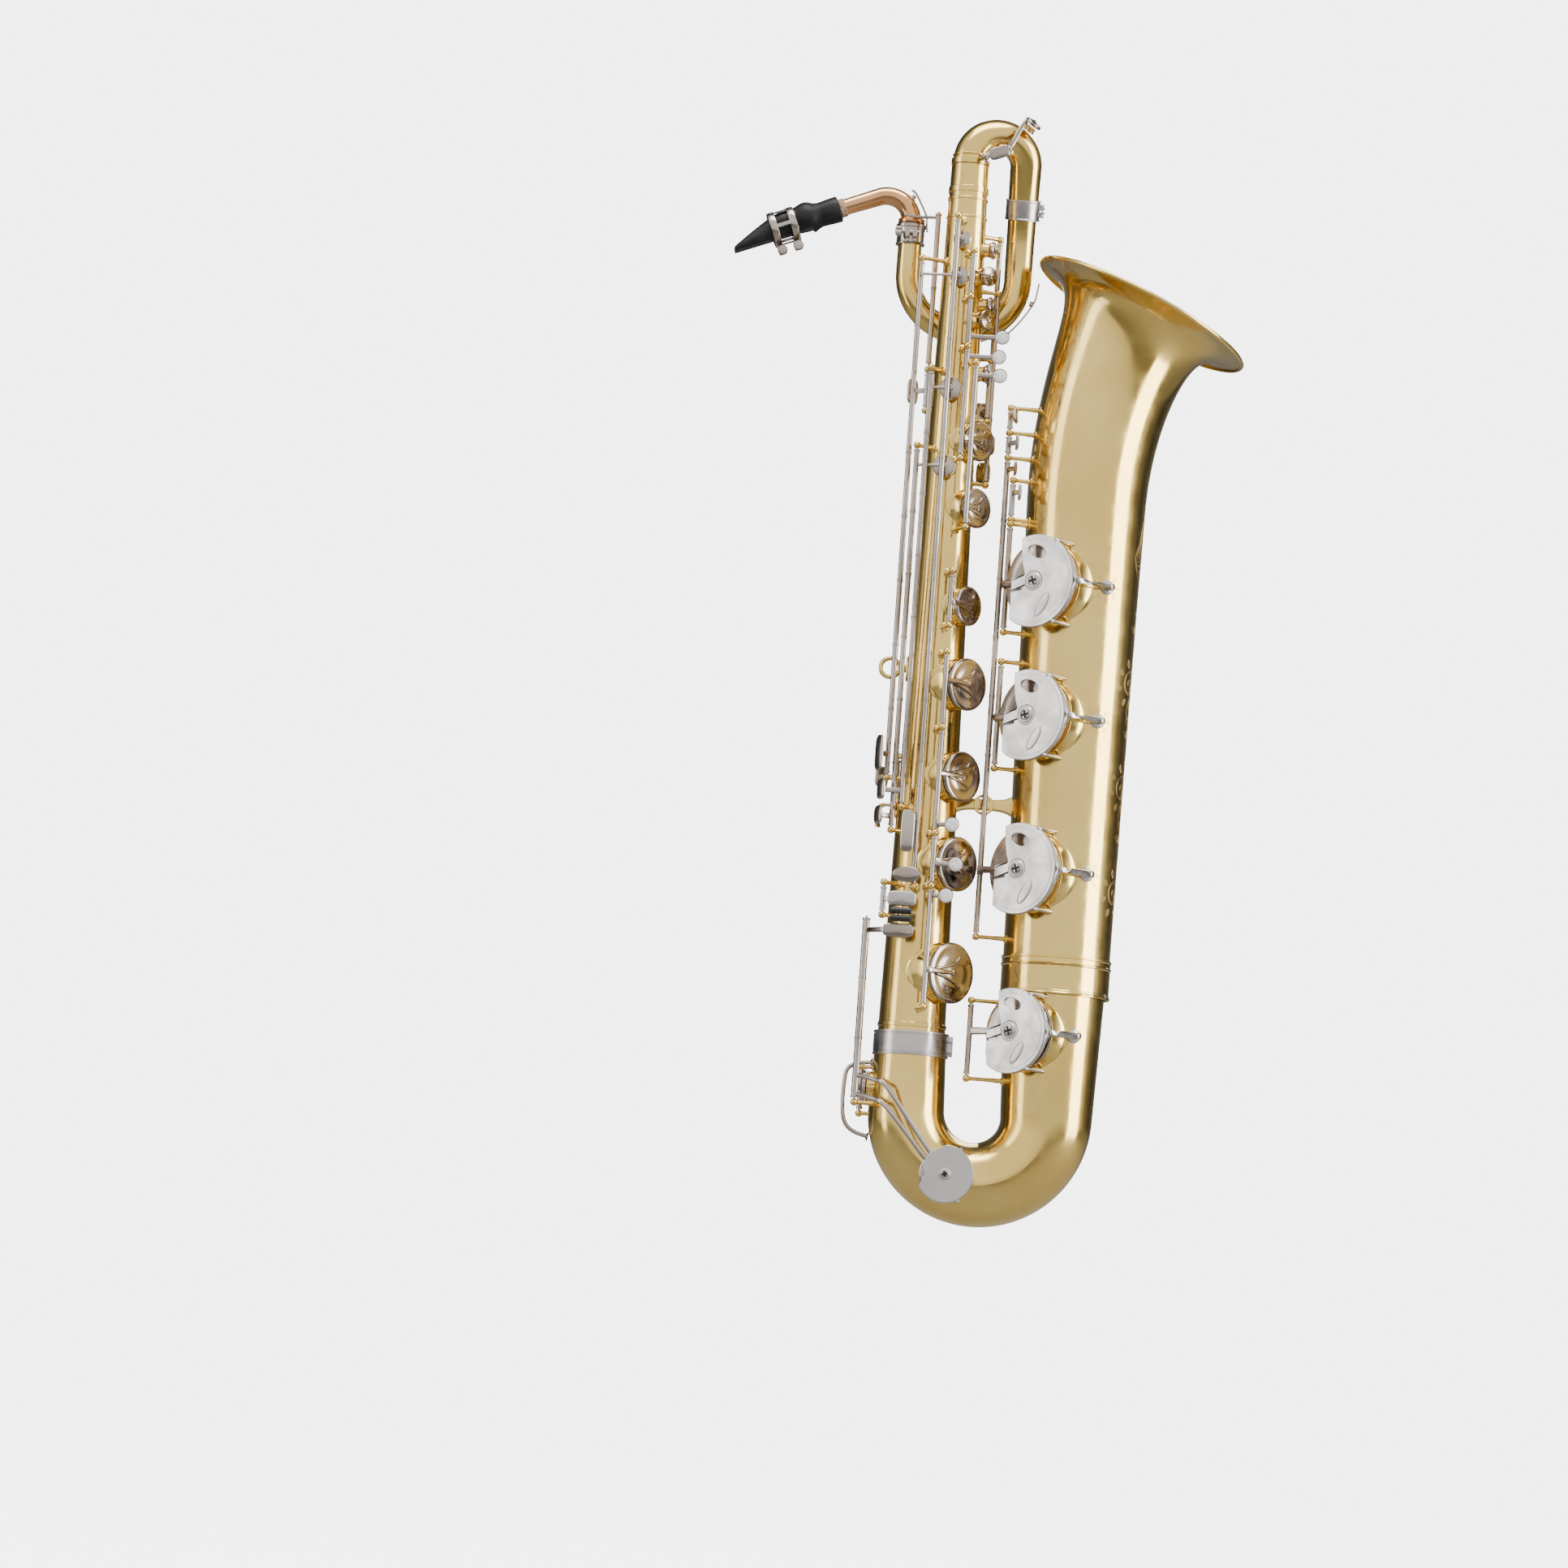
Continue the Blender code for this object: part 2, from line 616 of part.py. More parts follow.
def make_body_tube(shop):
    base = loft([circle(Vector((0, 0, GAP)), UP, body_r(0), SIDES),
                 circle(Vector((0, 0, BODY_LENGTH)), UP, BODY_HEAD_R, SIDES)])
    adds, cuts = posts_for("body", BODY_LINES), []
    for tube, z, r, phi, *rest in CUP_KEYS.values():
        if tube == "body":
            solid, hole = chimney(tube_center(tube, z), facing(phi), body_r(z), r)
            adds.append(solid)
            cuts.append(hole)
    bore = loft([circle(Vector((0, 0, -5.0)), UP, body_r(-5.0) - WALL, SIDES),
                 circle(Vector((0, 0, BODY_LENGTH + 5.0)), UP, BODY_HEAD_R - WALL, SIDES)])
    shop.piece("body_tube", "lacquer", base, adds, [bore] + cuts)


def make_bottom_bow(shop):
    path = bow_path()
    radii = [bow_r(t) for t in along(path)]
    base = sweep(path, radii)
    inner = [path[0] - UP * -4.0] + path[1:-1] + [path[-1] + UP * 4.0]
    bore = sweep(inner, [r - WALL for r in radii])
    adds, cuts = [], []
    tube, z, r, phi, *rest = CUP_KEYS["key_low_csharp"]
    holes = [(tube_center(tube, z), facing(phi), bow_leg_r(z), r),
             (low_c_center(), facing(0.0), low_c_bow_r(), LOW_C_R),
             (Vector((0, 0, EFLAT_Z)), facing(-90.0), BOW_FOOT_R, EFLAT_R)]
    for center, out, tube_r, radius in holes:
        solid, hole = chimney(center, out, tube_r, radius)
        adds.append(solid)
        cuts.append(hole)
    adds += posts_for("bow", (P_LINE,))
    low = LOW_PIVOTS["key_low_c"][0] - BALL_R - GAP
    adds += post(Vector((0, 0, low)), line_at(C_LINE, low), BOW_FOOT_R)
    foot, head = LOW_PIVOTS["key_low_eflat"]
    for z in (foot - BALL_R - GAP, head + BALL_R + GAP):
        adds += post(Vector((0, 0, z)), line_at(E_LINE, z), BOW_FOOT_R)
    shop.piece("bottom_bow", "lacquer", base, adds, [bore] + cuts)


def low_c_center():
    a = math.radians(180.0 + LOW_C_AT)
    return Vector((BELL_X / 2, 0, -BOW_DROP)) + BELL_X / 2 * Vector((math.cos(a), 0, math.sin(a)))


def low_c_bow_r():
    return bow_r((BOW_DROP + math.radians(LOW_C_AT) * BELL_X / 2) / bow_length())


def bell_rings(offset, first, sides=BELL_SIDES):
    """Rings of the bell's surface, moved inwards by the wall thickness offset."""
    length = bell_axis_length()
    stations = [first, 470.0, 520.0, 565.0, 600.0, 625.0, 642.0, 653.0, 660.0]
    stations = [s for s in stations if s < length] + [length]
    rings = []
    for s in stations:
        center, axis = bell_point(s)
        step = 0.5
        slope = (bell_r(s) - bell_r(s - step)) / step
        n = math.hypot(1.0, slope)
        rings.append(circle(center + axis * offset * slope / n, axis, bell_r(s) - offset / n, sides))
    return rings


def make_bell(shop):
    rings = bell_rings(0.0, GAP)
    rim, axis = bell_point(bell_axis_length())
    bead = [(-1.2, BELL_RIM_R + 1.6), (0.6, BELL_RIM_R + RIM_BEAD_R), (2.6, BELL_RIM_R + 1.2)]
    rings += [circle(rim + axis * h, axis, r, BELL_SIDES) for h, r in bead]
    rings += reversed(bell_rings(WALL, GAP))
    base = loft(rings, closed=True)
    adds, cuts = posts_for("bell", (P_LINE, Q_LINE)), []
    for tube, z, r, phi, *rest in CUP_KEYS.values():
        if tube == "bell":
            solid, hole = chimney(tube_center(tube, z), facing(phi), TUBES[tube][1](z), r)
            adds.append(solid)
            cuts.append(hole)
    bore = loft(bell_rings(WALL, -5.0)[:4])
    shop.piece("bell", "lacquer", base, adds, [bore] + cuts)


def make_bands(shop):
    outer = BOW_FOOT_R + 0.6
    band = ring_band(Vector((0, 0, -3.0)), UP, outer, outer + 1.6, 23.0)
    block = rod(Vector((outer + 3.0, -4.0, -11.0)), Vector((outer + 3.0, -4.0, 5.0)), 2.6, 8)
    shop.piece("body_clamp", "nickel", band, [block])
    inner = bell_r(0.0) + 0.8
    shop.piece("bell_ferrule", "lacquer",
               ring_band(Vector((BELL_X, 0, BOW_LEG + 18.0)), UP, inner, inner + 1.4, 37.0))
    first, second = loop_paths()
    clamp_r = TOP_BOW_END_R + 1.0
    spot = (first[-1] + second[0]) / 2
    axis = (second[0] - first[-2]).normalized()
    band = ring_band(spot, axis, clamp_r, clamp_r + 1.4, 20.0, 16)
    lug = rod(spot + Vector((clamp_r + 3.2, 0, -6.0)), spot + Vector((clamp_r + 3.2, 0, 6.0)), 2.4, 8)
    shop.piece("loop_clamp", "nickel", band, [lug])


def make_loop(shop):
    first, second = loop_paths()
    outer = tapered(first, TOP_BOW_TUBE_R, TOP_BOW_END_R)
    base = sweep(first, outer, LOOP_SIDES)
    inner = [r - WALL for r in outer]
    bore = sweep([first[0] - UP * 3] + first[1:-1] + [first[-1] - UP * 3], inner, LOOP_SIDES)
    shop.piece("top_bow", "lacquer", base, [], [bore])
    outer = tapered(second, LOOP_TUBE_R, LOOP_END_R)
    base = sweep(second, outer, LOOP_SIDES)
    inner = [r - WALL for r in outer]
    bore = sweep([second[0] + UP * 3] + second[1:-1] + [second[-1] + UP * 3], inner, LOOP_SIDES)
    hinge = water_hinge()
    lugs = [bar(hinge + Vector((-9.0, y, -3.0)), hinge + Vector((0, y, 0)), 2.4, 4.0, UP)
            for y in (-6.0, 6.0)]
    shop.piece("loop_tube", "lacquer", base, lugs, [bore])


def water_hinge():
    """Hinge of the water key, outside the lower right of the loop."""
    low_z = BODY_LENGTH + 6.0 - LOOP_DROP
    leg_x = 2.0 * TOP_BOW_R
    a = math.radians(-18.0)
    reach = LOOP_BEND_R + LOOP_TUBE_R + 4.0
    return Vector((leg_x - LOOP_BEND_R + reach * math.cos(a), LOOP_BACK, low_z + reach * math.sin(a)))


def water_pad():
    low_z = BODY_LENGTH + 6.0 - LOOP_DROP
    a = math.radians(-52.0)
    reach = LOOP_BEND_R + LOOP_TUBE_R + 1.0
    out = Vector((math.cos(a), 0, math.sin(a)))
    return Vector((2.0 * TOP_BOW_R - LOOP_BEND_R, LOOP_BACK, low_z)) + out * reach, out


def make_water_key(shop):
    hinge = water_hinge()
    pad, out = water_pad()
    barrel = rod(hinge + Vector((0, -4.4, 0)), hinge + Vector((0, 4.4, 0)), 2.2)
    cup = turned(pad, out, [(0.0, 4.5), (3.0, 4.5)], 12)
    side = Vector((0, 1, 0))
    lever = bar(pad + out * 2.2, hinge + Vector((1.2, 0, 0)), 2.0, 4.0, side)
    finger = bar(hinge, hinge + Vector((6.5, 0, 20.0)), 2.0, 5.0, side)
    shop.piece("water_key", "nickel", cup, [lever, barrel, finger])


def make_receiver(shop):
    top = loop_paths()[1][-1]
    mid = Vector((top.x, top.y, top.z + 4.0))
    band = ring_band(mid, UP, LOOP_END_R + 0.5, RECEIVER_R, RECEIVER_H, LOOP_SIDES)
    face = -RECEIVER_R
    lug = bar(mid + Vector((-7, face - 3.0, 0)), mid + Vector((7, face - 3.0, 0)), 8.0, 10.0, UP)
    across = Vector((1, 0, 0))
    slot = bar(mid + Vector((0, face + 6.0, 0)), mid + Vector((0, face - 12.0, 0)), 30.0, 2.0, across)
    hole = rod(mid + Vector((-20, face - 4.0, 0)), mid + Vector((20, face - 4.0, 0)), 2.3)
    shop.piece("neck_receiver", "nickel", band, [lug], [slot, hole])
    a = mid + Vector((-8.5, face - 4.0, 0))
    shaft = rod(a, mid + Vector((8.0, face - 4.0, 0)), 1.8)
    head = rod(a + Vector((-7.0, 0, 0)), a + Vector((0.6, 0, 0)), 4.2, 12)
    shop.piece("neck_screw", "nickel", head, [shaft])


def cork_start():
    return neck_path()[-2] + mouth_axis() * (NECK_STRAIGHT - CORK_LENGTH)


def mouth_start():
    return cork_start() + mouth_axis() * 6.0


def make_neck(shop):
    path = neck_path()
    radii = tapered(path, NECK_R, NECK_TIP_R)
    tip = path[-1] + mouth_axis() * 3
    base = sweep(path, radii, LOOP_SIDES)
    bore = sweep([path[0] - UP * 3] + path[1:-1] + [tip], [r - WALL for r in radii], LOOP_SIDES)
    foot = path[0]
    collar_z = RECEIVER_H / 2 + 4.0
    tenon = turned(foot, UP, [(0.0, LOOP_END_R - 0.6), (collar_z, LOOP_END_R - 0.6),
                              (collar_z + 0.3, RECEIVER_R - 1.0), (collar_z + 5.0, RECEIVER_R - 1.0),
                              (collar_z + 6.0, NECK_R - 0.5)], LOOP_SIDES)
    shop.piece("neck", "copper", base, [tenon], [bore])
    start = cork_start()
    end = start + mouth_axis() * (CORK_LENGTH - 1.0)
    grow = CORK_R - CORK_T + 0.2
    rows = ((start, CORK_R), (end, CORK_R - 0.3), (end, grow - 1.0), (start, grow - 0.2))
    rings = [circle(center, mouth_axis(), radius, LOOP_SIDES) for center, radius in rows]
    shop.piece("neck_cork", "cork", loft(rings, closed=True))


def mouth_ring(h, top, low, half_w, sides=14):
    """Oval section of the mouthpiece at h along its axis."""
    center = mouth_start() + mouth_axis() * h + mouth_up() * (top + low) / 2
    side = mouth_axis().cross(mouth_up())
    turn = 2 * math.pi / sides
    ring = []
    for k in range(sides):
        a = k * turn
        ring.append(center + side * half_w * math.cos(a) + mouth_up() * (top - low) / 2 * math.sin(a))
    return ring


def make_mouthpiece(shop):
    r, s = MOUTH_R, MOUTH_SHANK_R
    beak = MOUTH_LENGTH - 48.0
    big = r + MOUTH_BULGE
    sections = [(0.0, s, -s, s), (1.0, s + 0.3, -s - 0.3, s + 0.3), (14.0, s - 0.4, 0.4 - s, s - 0.4),
                (20.0, s - 0.6, 0.6 - s, s - 0.6), (28.0, big - 0.8, 0.8 - big, big - 1.4),
                (34.0, big, -big, big - 0.8), (42.0, r + 0.4, -r, r), (beak, r - 0.3, -r, r - 0.3),
                (beak + 20.0, r - 7.5, -r, r - 1.5), (MOUTH_LENGTH - 4.0, TABLE + 6.4, -r, r - 3.4),
                (MOUTH_LENGTH, TABLE + 3.4, -r, r - 4.4)]
    base = loft([mouth_ring(*sec) for sec in sections])
    start, axis, up = mouth_start(), mouth_axis(), mouth_up()
    bore = rod(start - axis * 3, start + axis * 66.0, CORK_R + 0.4, LOOP_SIDES)
    flat = bar(start + axis * 29.0 + up * (TABLE - 10.0), start + axis * 130.0 + up * (TABLE - 10.0),
               40.0, 20.0, up)
    level = up * (TABLE + 1.0)
    window = bar(start + axis * 60.0 + level, start + axis * (MOUTH_LENGTH - 4.0) + level, 10.0, 5.0, up)
    shop.piece("mouthpiece", "ebonite", base, [], [bore, flat, window])


def ligature_screws():
    start, axis, up = mouth_start(), mouth_axis(), mouth_up()
    spot = start + axis * LIGATURE_AT - up * LUG_REACH
    return [("ligature_screw_front", spot + axis * 8.0), ("ligature_screw_rear", spot - axis * 8.0)]


def make_ligature(shop):
    start, axis, up = mouth_start(), mouth_axis(), mouth_up()
    mid = start + axis * LIGATURE_AT - up * LIGATURE_LOW
    band = ring_band(mid, axis, LIGATURE_R, LIGATURE_R + LIGATURE_T, LIGATURE_L, 16)
    side = axis.cross(up)
    root = start + axis * LIGATURE_AT - up * (LIGATURE_LOW + LIGATURE_R + 0.6)
    lug = bar(root, start + axis * LIGATURE_AT - up * (LUG_REACH + 3.0), LIGATURE_L - 2.0, 7.0, side)
    holes = [rod(p - side * 20, p + side * 20, 1.7) for _, p in ligature_screws()]
    shop.piece("ligature", "nickel", band, [lug], holes)
    for name, p in ligature_screws():
        face = Vector((0, -1, 0))
        shaft = rod(p - face * 5.0, p + face * 5.0, 1.3)
        head = rod(p + face * 4.4, p + face * 12.0, 4.6, 12)
        shop.piece(name, "nickel", head, [shaft])


def make_guards(shop):
    for note in GUARDS:
        tube, z, r, phi, rest, line, foot, head = CUP_KEYS["key_" + note]
        out = facing(phi)
        t = Vector((-math.cos(math.radians(phi)), -math.sin(math.radians(phi)), 0.0))
        tube_r = TUBES[tube][1](z)
        axis = tube_center(tube, z)
        radius = r + GUARD_OVER
        level = tube_r + CHIMNEY_H + GUARD_RISE
        flat_a = math.acos(GUARD_FLAT / radius)
        steps = 13
        angles = [flat_a + (2 * math.pi - 2 * flat_a) * k / steps for k in range(steps + 1)]
        outline = [axis + out * level + radius * (math.cos(a) * t + math.sin(a) * UP) for a in angles]
        base = plate(outline, out * GUARD_T)
        adds = []
        for sign in (1.0, -1.0):
            side = (radius + 0.5) * math.cos(math.radians(LEG_TURN))
            rise = sign * (radius + 0.5) * math.sin(math.radians(LEG_TURN))
            wall_r = TUBES[tube][1](z + rise) + 1.2
            drop = math.sqrt(wall_r ** 2 - (side - 1.8) ** 2)
            spot = axis - t * side + UP * rise
            adds.append(rod(spot + out * (level + 0.8), spot + out * drop, 1.8, 5))
        edge = axis + out * (level + 1.0) - t * (radius + 3.0)
        adds.append(bar(edge + t * 8.0, edge - t * 0.8, 6.0, 1.4, out))
        land = facing(GUARD_FOOT)
        pad_top = axis + land * (tube_r + 4.0)
        adds.append(bar(edge, pad_top, 7.0, 2.4, out))
        adds.append(rod(axis + land * (tube_r + 0.6), pad_top + land * 0.8, 6.0, 8))
        screw = axis + out * (level + GUARD_T - 0.4)
        adds.append(rod(screw, screw + out * 3.0, 7.0, 10))
        shop.piece("guard_" + note, "nickel", base, adds)


def make_cup_keys(shop):
    for name, (tube, z, r, phi, rest, line, foot, head) in CUP_KEYS.items():
        touch = []
        if name in PEARLS:
            touch += pearl_parts(line, *PEARLS[name])
        if name in PADDLES:
            touch += paddle_parts(line, *PADDLES[name])
        if name in SECOND_PADDLES:
            touch += paddle_parts(line, *SECOND_PADDLES[name])
        if name in SPLIT_RODS:
            joint = SPLIT_RODS[name]
            lower = rod(line_at(line, foot), line_at(line, joint - GAP), ROD_R)
            shop.piece(name + "_rod", "nickel", lower, touch)
            foot, touch = joint, []
        barrel = rod(line_at(line, foot), line_at(line, head), ROD_R)
        shop.piece(name, "nickel", barrel, cup_parts(name) + touch)
    for name, (tube, line, foot, head, paddle) in DRIVERS.items():
        barrel = rod(line_at(line, foot), line_at(line, head), ROD_R)
        shop.piece(name, "nickel", barrel, paddle_parts(line, *paddle))


def low_c_turn():
    """Turn of the low C key from closed to its open rest."""
    pivot = line_at(C_LINE, 0.0)
    turn = Matrix.Rotation(math.radians(-LOW_C_OPEN), 4, "Z")
    return Matrix.Translation(pivot) @ turn @ Matrix.Translation(-pivot)


def make_low_keys(shop):
    """The low C key under the bow and the E flat key on its left leg."""
    foot, head = LOW_PIVOTS["key_low_c"]
    barrel = rod(line_at(C_LINE, foot), line_at(C_LINE, head), ROD_R + 0.8)
    out = facing(0.0)
    seat = low_c_center() + out * (low_c_bow_r() + CHIMNEY_H + PAD_SEAT)
    profile = [(0.0, LOW_C_R), (CUP_T - 2, LOW_C_R), (CUP_T, LOW_C_R * 0.8)]
    adds = [moved(turned(seat, out, profile, 16), low_c_turn())]
    for z in (foot + 22.0, foot + 4.0):
        elbow = Vector((-18.0, seat.y - 3.0, z - 12.0))
        end = seat + out * (CUP_T - 1.2) + UP * (z - foot - 10.0) * 0.4
        adds.append(moved(rod(line_at(C_LINE, z), elbow, 1.8, 6), low_c_turn()))
        adds.append(moved(rod(elbow + Vector((-0.8, 0, 0.4)), end, 1.8, 6), low_c_turn()))
    adds.append(bar(line_at(C_LINE, TOUCH_C_Z), Vector((-33.0, -48.2, TOUCH_C_Z)), ARM_W, ARM_T, out))
    adds.append(bar(Vector((-35.0, -48.6, TOUCH_C_Z)), Vector((-6.0, -51.0, TOUCH_C_Z)), 13.0, 2.6, out))
    shop.piece("key_low_c", "nickel", barrel, adds)

    foot, head = LOW_PIVOTS["key_low_eflat"]
    barrel = rod(line_at(E_LINE, foot), line_at(E_LINE, head), ROD_R)
    out = facing(-90.0)
    seat = Vector((0, 0, EFLAT_Z)) + out * (BOW_FOOT_R + CHIMNEY_H + PAD_SEAT)
    cup = turned(seat, out, [(0.0, EFLAT_R), (CUP_T - 2.0, EFLAT_R), (CUP_T, EFLAT_R * 0.8)], 16)
    arm = bar(line_at(E_LINE, EFLAT_Z), seat + out * (CUP_T - 0.5), ARM_W, ARM_T, out)
    shop.piece("key_low_eflat", "nickel", barrel, [cup, arm])


def make_fittings(shop):
    """Rollers, low C guard, thigh guard, brace, hook, rest and ring."""
    for name, side in (("roller_upper", 1.0), ("roller_lower", -1.0)):
        a = Vector((-29.0, -53.0, ROLLER_Z + side * (ROLLER_R + GAP)))
        shop.piece(name, "roller", rod(a, a + Vector((20.0, 0, 0)), ROLLER_R, 12))
    seat = low_c_center() + facing(0.0) * (low_c_bow_r() + CHIMNEY_H + 16.0)
    outline = [seat + (LOW_C_R + 5.0) * Vector((math.cos(a), 0, math.sin(a)))
               for a in (math.radians(-150.0 + 15.0 * k) for k in range(17))]
    base = plate(outline, Vector((0, -GUARD_T, 0)))
    legs = []
    for deg in (-60.0, 60.0):
        a = math.radians(deg)
        high = seat + (LOW_C_R + 5.5) * Vector((math.cos(a), 0, math.sin(a))) + Vector((0, -0.8, 0))
        legs.append(rod(high, Vector((high.x, -guard_leg_y(high), high.z)), 1.8, 8))
    shop.piece("guard_low_c", "nickel", base, legs)

    wire = [Vector((-BOW_FOOT_R - 2.6, 0, -23.0)), Vector((-56.0, 0, -27.0)), Vector((-60.0, 0, -40.0)),
            Vector((-60.0, 0, -68.0)), Vector((-55.0, 0, -84.0)), Vector((-34.5, 0, -92.5))]
    shop.piece("thigh_guard", "nickel", sweep(wire, [2.0] * len(wire), 8))

    z = 230.0
    left, right = body_r(z) + 0.6, BELL_X - TUBES["bell"][1](z) - 0.6
    base = bar(Vector((left, 14.0, z)), Vector((right, 14.0, z)), 22.0, 3.0, Vector((0, 1, 0)))
    away = [turned(Vector((x, 0, z)), UP, [(-20, r), (20, r)], SIDES)
            for x, r in ((0.0, body_r(z - 25) + 0.6), (BELL_X, TUBES["bell"][1](z + 25) + 0.6))]
    shop.piece("bell_brace", "lacquer", base, [], away)

    out = facing(-112.0)
    tube_r = body_r(222.0)
    spot = Vector((0, 0, 222.0)) + out * (tube_r + 0.5)
    base = bar(spot + out * 0.7, spot + out * 22.0, 12.0, 3.0, UP)
    tip = bar(spot + out * 21.0 + UP * 2.3, spot + out * 21.0 - UP * 20.0, 11.0, 3.0, out)
    foot = bar(spot + out * 1.2 + UP * 12.0, spot + out * 1.2 - UP * 12.0, 10.0, 2.4, out)
    shop.piece("thumb_hook", "lacquer", base, [tip, foot])

    out = facing(-118.0)
    spot = Vector((0, 0, REST_Z)) + out * (body_r(REST_Z) + 0.5)
    shop.piece("thumb_rest", "ebonite", turned(spot, out, [(0.0, 8.0), (3.0, 8.0), (5.0, 6.0)], 14))

    center = strap_ring_center()
    out = Vector((center.x, center.y, 0)).normalized()
    wall = Vector((0, 0, STRAP_Z)) + out * (body_r(STRAP_Z) + 0.5)
    base = wire_ring(center, out.cross(UP), RING_R, RING_WIRE)
    stem = bar(wall + out * 0.4, center - out * (RING_R - 0.5), 6.0, 4.0, UP)
    foot = bar(wall + out * 1.0 - UP * 12.0, wall + out * 1.0 + UP * 12.0, 8.0, 2.0, out)
    shop.piece("strap_ring", "lacquer", base, [stem, foot])


def guard_leg_y(high):
    """How far out the low C guard's leg stops, clear of the bow's surface."""
    bend = Vector((BELL_X / 2, 0, -BOW_DROP))
    off = abs(Vector((high.x - bend.x, 0, high.z - bend.z)).length - BELL_X / 2)
    reach = low_c_bow_r() + 2.5
    return math.sqrt(max(reach ** 2 - off ** 2, 0.0))


def make_octave_key(shop):
    barrel = rod(line_at(OC_LINE, OCTAVE_FOOT), line_at(OC_LINE, OCTAVE_HEAD), ROD_R)
    z = OCTAVE_HEAD - 4.0
    arm = bar(line_at(OC_LINE, z), Vector((-44.0, 20.0, z + 1.0)), 4.0, 2.6, UP)
    crook = bar(Vector((-43.0, 20.4, z + 1.0)), Vector((-60.0, 23.0, z + 3.0)), 4.0, 2.4, UP)
    shop.piece("octave_key", "nickel", barrel, [arm, crook])


def build():
    shop = Workshop()
    make_body_tube(shop)
    make_bottom_bow(shop)
    make_bell(shop)
    make_bands(shop)
    make_loop(shop)
    make_receiver(shop)
    make_neck(shop)
    make_mouthpiece(shop)
    make_ligature(shop)
    make_guards(shop)
    make_cup_keys(shop)
    make_low_keys(shop)
    make_water_key(shop)
    make_octave_key(shop)
    make_fittings(shop)


build()
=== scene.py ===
import json
import math

import bpy
import numpy as np
from mathutils import Matrix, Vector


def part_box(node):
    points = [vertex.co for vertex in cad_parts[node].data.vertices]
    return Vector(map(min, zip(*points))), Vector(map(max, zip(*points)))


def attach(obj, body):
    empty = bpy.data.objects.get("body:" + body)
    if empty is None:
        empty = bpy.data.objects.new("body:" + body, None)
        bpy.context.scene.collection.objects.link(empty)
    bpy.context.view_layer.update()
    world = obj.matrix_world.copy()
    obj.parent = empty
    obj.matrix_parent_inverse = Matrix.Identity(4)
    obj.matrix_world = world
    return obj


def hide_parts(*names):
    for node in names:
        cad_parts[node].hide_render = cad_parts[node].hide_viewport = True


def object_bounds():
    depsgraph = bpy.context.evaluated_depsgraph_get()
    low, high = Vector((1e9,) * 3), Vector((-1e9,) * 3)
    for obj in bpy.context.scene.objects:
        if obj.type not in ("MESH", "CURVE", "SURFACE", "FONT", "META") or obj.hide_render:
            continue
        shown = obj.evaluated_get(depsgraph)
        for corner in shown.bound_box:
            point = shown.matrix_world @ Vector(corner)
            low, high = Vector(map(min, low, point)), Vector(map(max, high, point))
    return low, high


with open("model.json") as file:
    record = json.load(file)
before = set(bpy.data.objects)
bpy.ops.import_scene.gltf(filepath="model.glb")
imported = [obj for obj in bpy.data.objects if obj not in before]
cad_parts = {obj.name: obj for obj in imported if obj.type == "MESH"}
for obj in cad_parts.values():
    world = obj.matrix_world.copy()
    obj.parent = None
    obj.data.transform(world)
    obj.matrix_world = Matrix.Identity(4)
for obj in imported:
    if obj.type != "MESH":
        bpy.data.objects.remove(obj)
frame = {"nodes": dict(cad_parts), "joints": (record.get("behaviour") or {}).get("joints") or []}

CAD_BOX = [list(corner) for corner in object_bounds()]
MM = 0.001
TAU = 2.0 * math.pi
Z = np.array([0.0, 0.0, 1.0])
Y = np.array([0.0, 1.0, 0.0])

# --- sizes of the horn, in millimetres from the foot of the body axis --------------
BODY_LENGTH, BODY_FOOT_R, BODY_HEAD_R, WALL = 841.0, 32.0, 18.0, 1.2
BELL_X, BOW_DROP, BOW_LEG, BOW_FOOT_R, BOW_BELL_R = 132.0, 65.0, 51.0, 33.5, 47.5
BELL_STRAIGHT, BELL_BEND_R, BELL_TILT = 469.0, 461.0, math.radians(24.2)
RIM_R, THROAT_R, TAPER, SHARP, BEAD_R = 107.5, 51.0, 0.007, 3.06, 2.3
BELL_LENGTH = BELL_STRAIGHT + BELL_BEND_R * BELL_TILT
TOP_BOW_R, LOOP_DROP, LOOP_BEND_R, LOOP_RISE, LOOP_BACK = 27.0, 106.0, 53.0, 33.0, 38.0
TOP_TUBE_R, TOP_END_R, LOOP_R, LOOP_END_R, CLAMP_DROP = 17.0, 14.6, 14.0, 11.5, 38.0
NECK_R, NECK_TIP_R, NECK_RISE, NECK_BEND_R, NECK_STRAIGHT = 9.8, 7.4, 17.0, 24.0, 58.0
CORK_LENGTH, CORK_R, MOUTH_DROP = 24.0, 9.2, math.radians(21.0)
MOUTH_LENGTH, TABLE = 109.0, -11.0
CHIMNEY_H, SEAT, CUP_T, ROD_R, BALL_R = 6.0, 0.4, 5.0, 2.6, 3.6
GUARD_OVER, GUARD_RISE, GUARD_FLAT = 3.0, 16.5, 26.0
RECEIVER_H, RECEIVER_EDGE, OCTAVE_HEAD = 20.0, 14.0, 796.0


def box_mid(node):
    """Middle of a node's box."""
    low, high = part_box(node)
    return [(a + b) * 500.0 for a, b in zip(low, high)]


FERRULE = box_mid("bell_ferrule")
ORIGIN = np.array([BELL_X - FERRULE[0], -FERRULE[1], BOW_LEG + 18.0 - FERRULE[2]])
JOINTS = {j["child"]: j for j in frame["joints"]}


def hinge_line(body):
    """Place of a body's hinge in millimetres, in the horn's own frame."""
    return np.array(JOINTS[body]["pos_m"]) * 1000.0 + ORIGIN


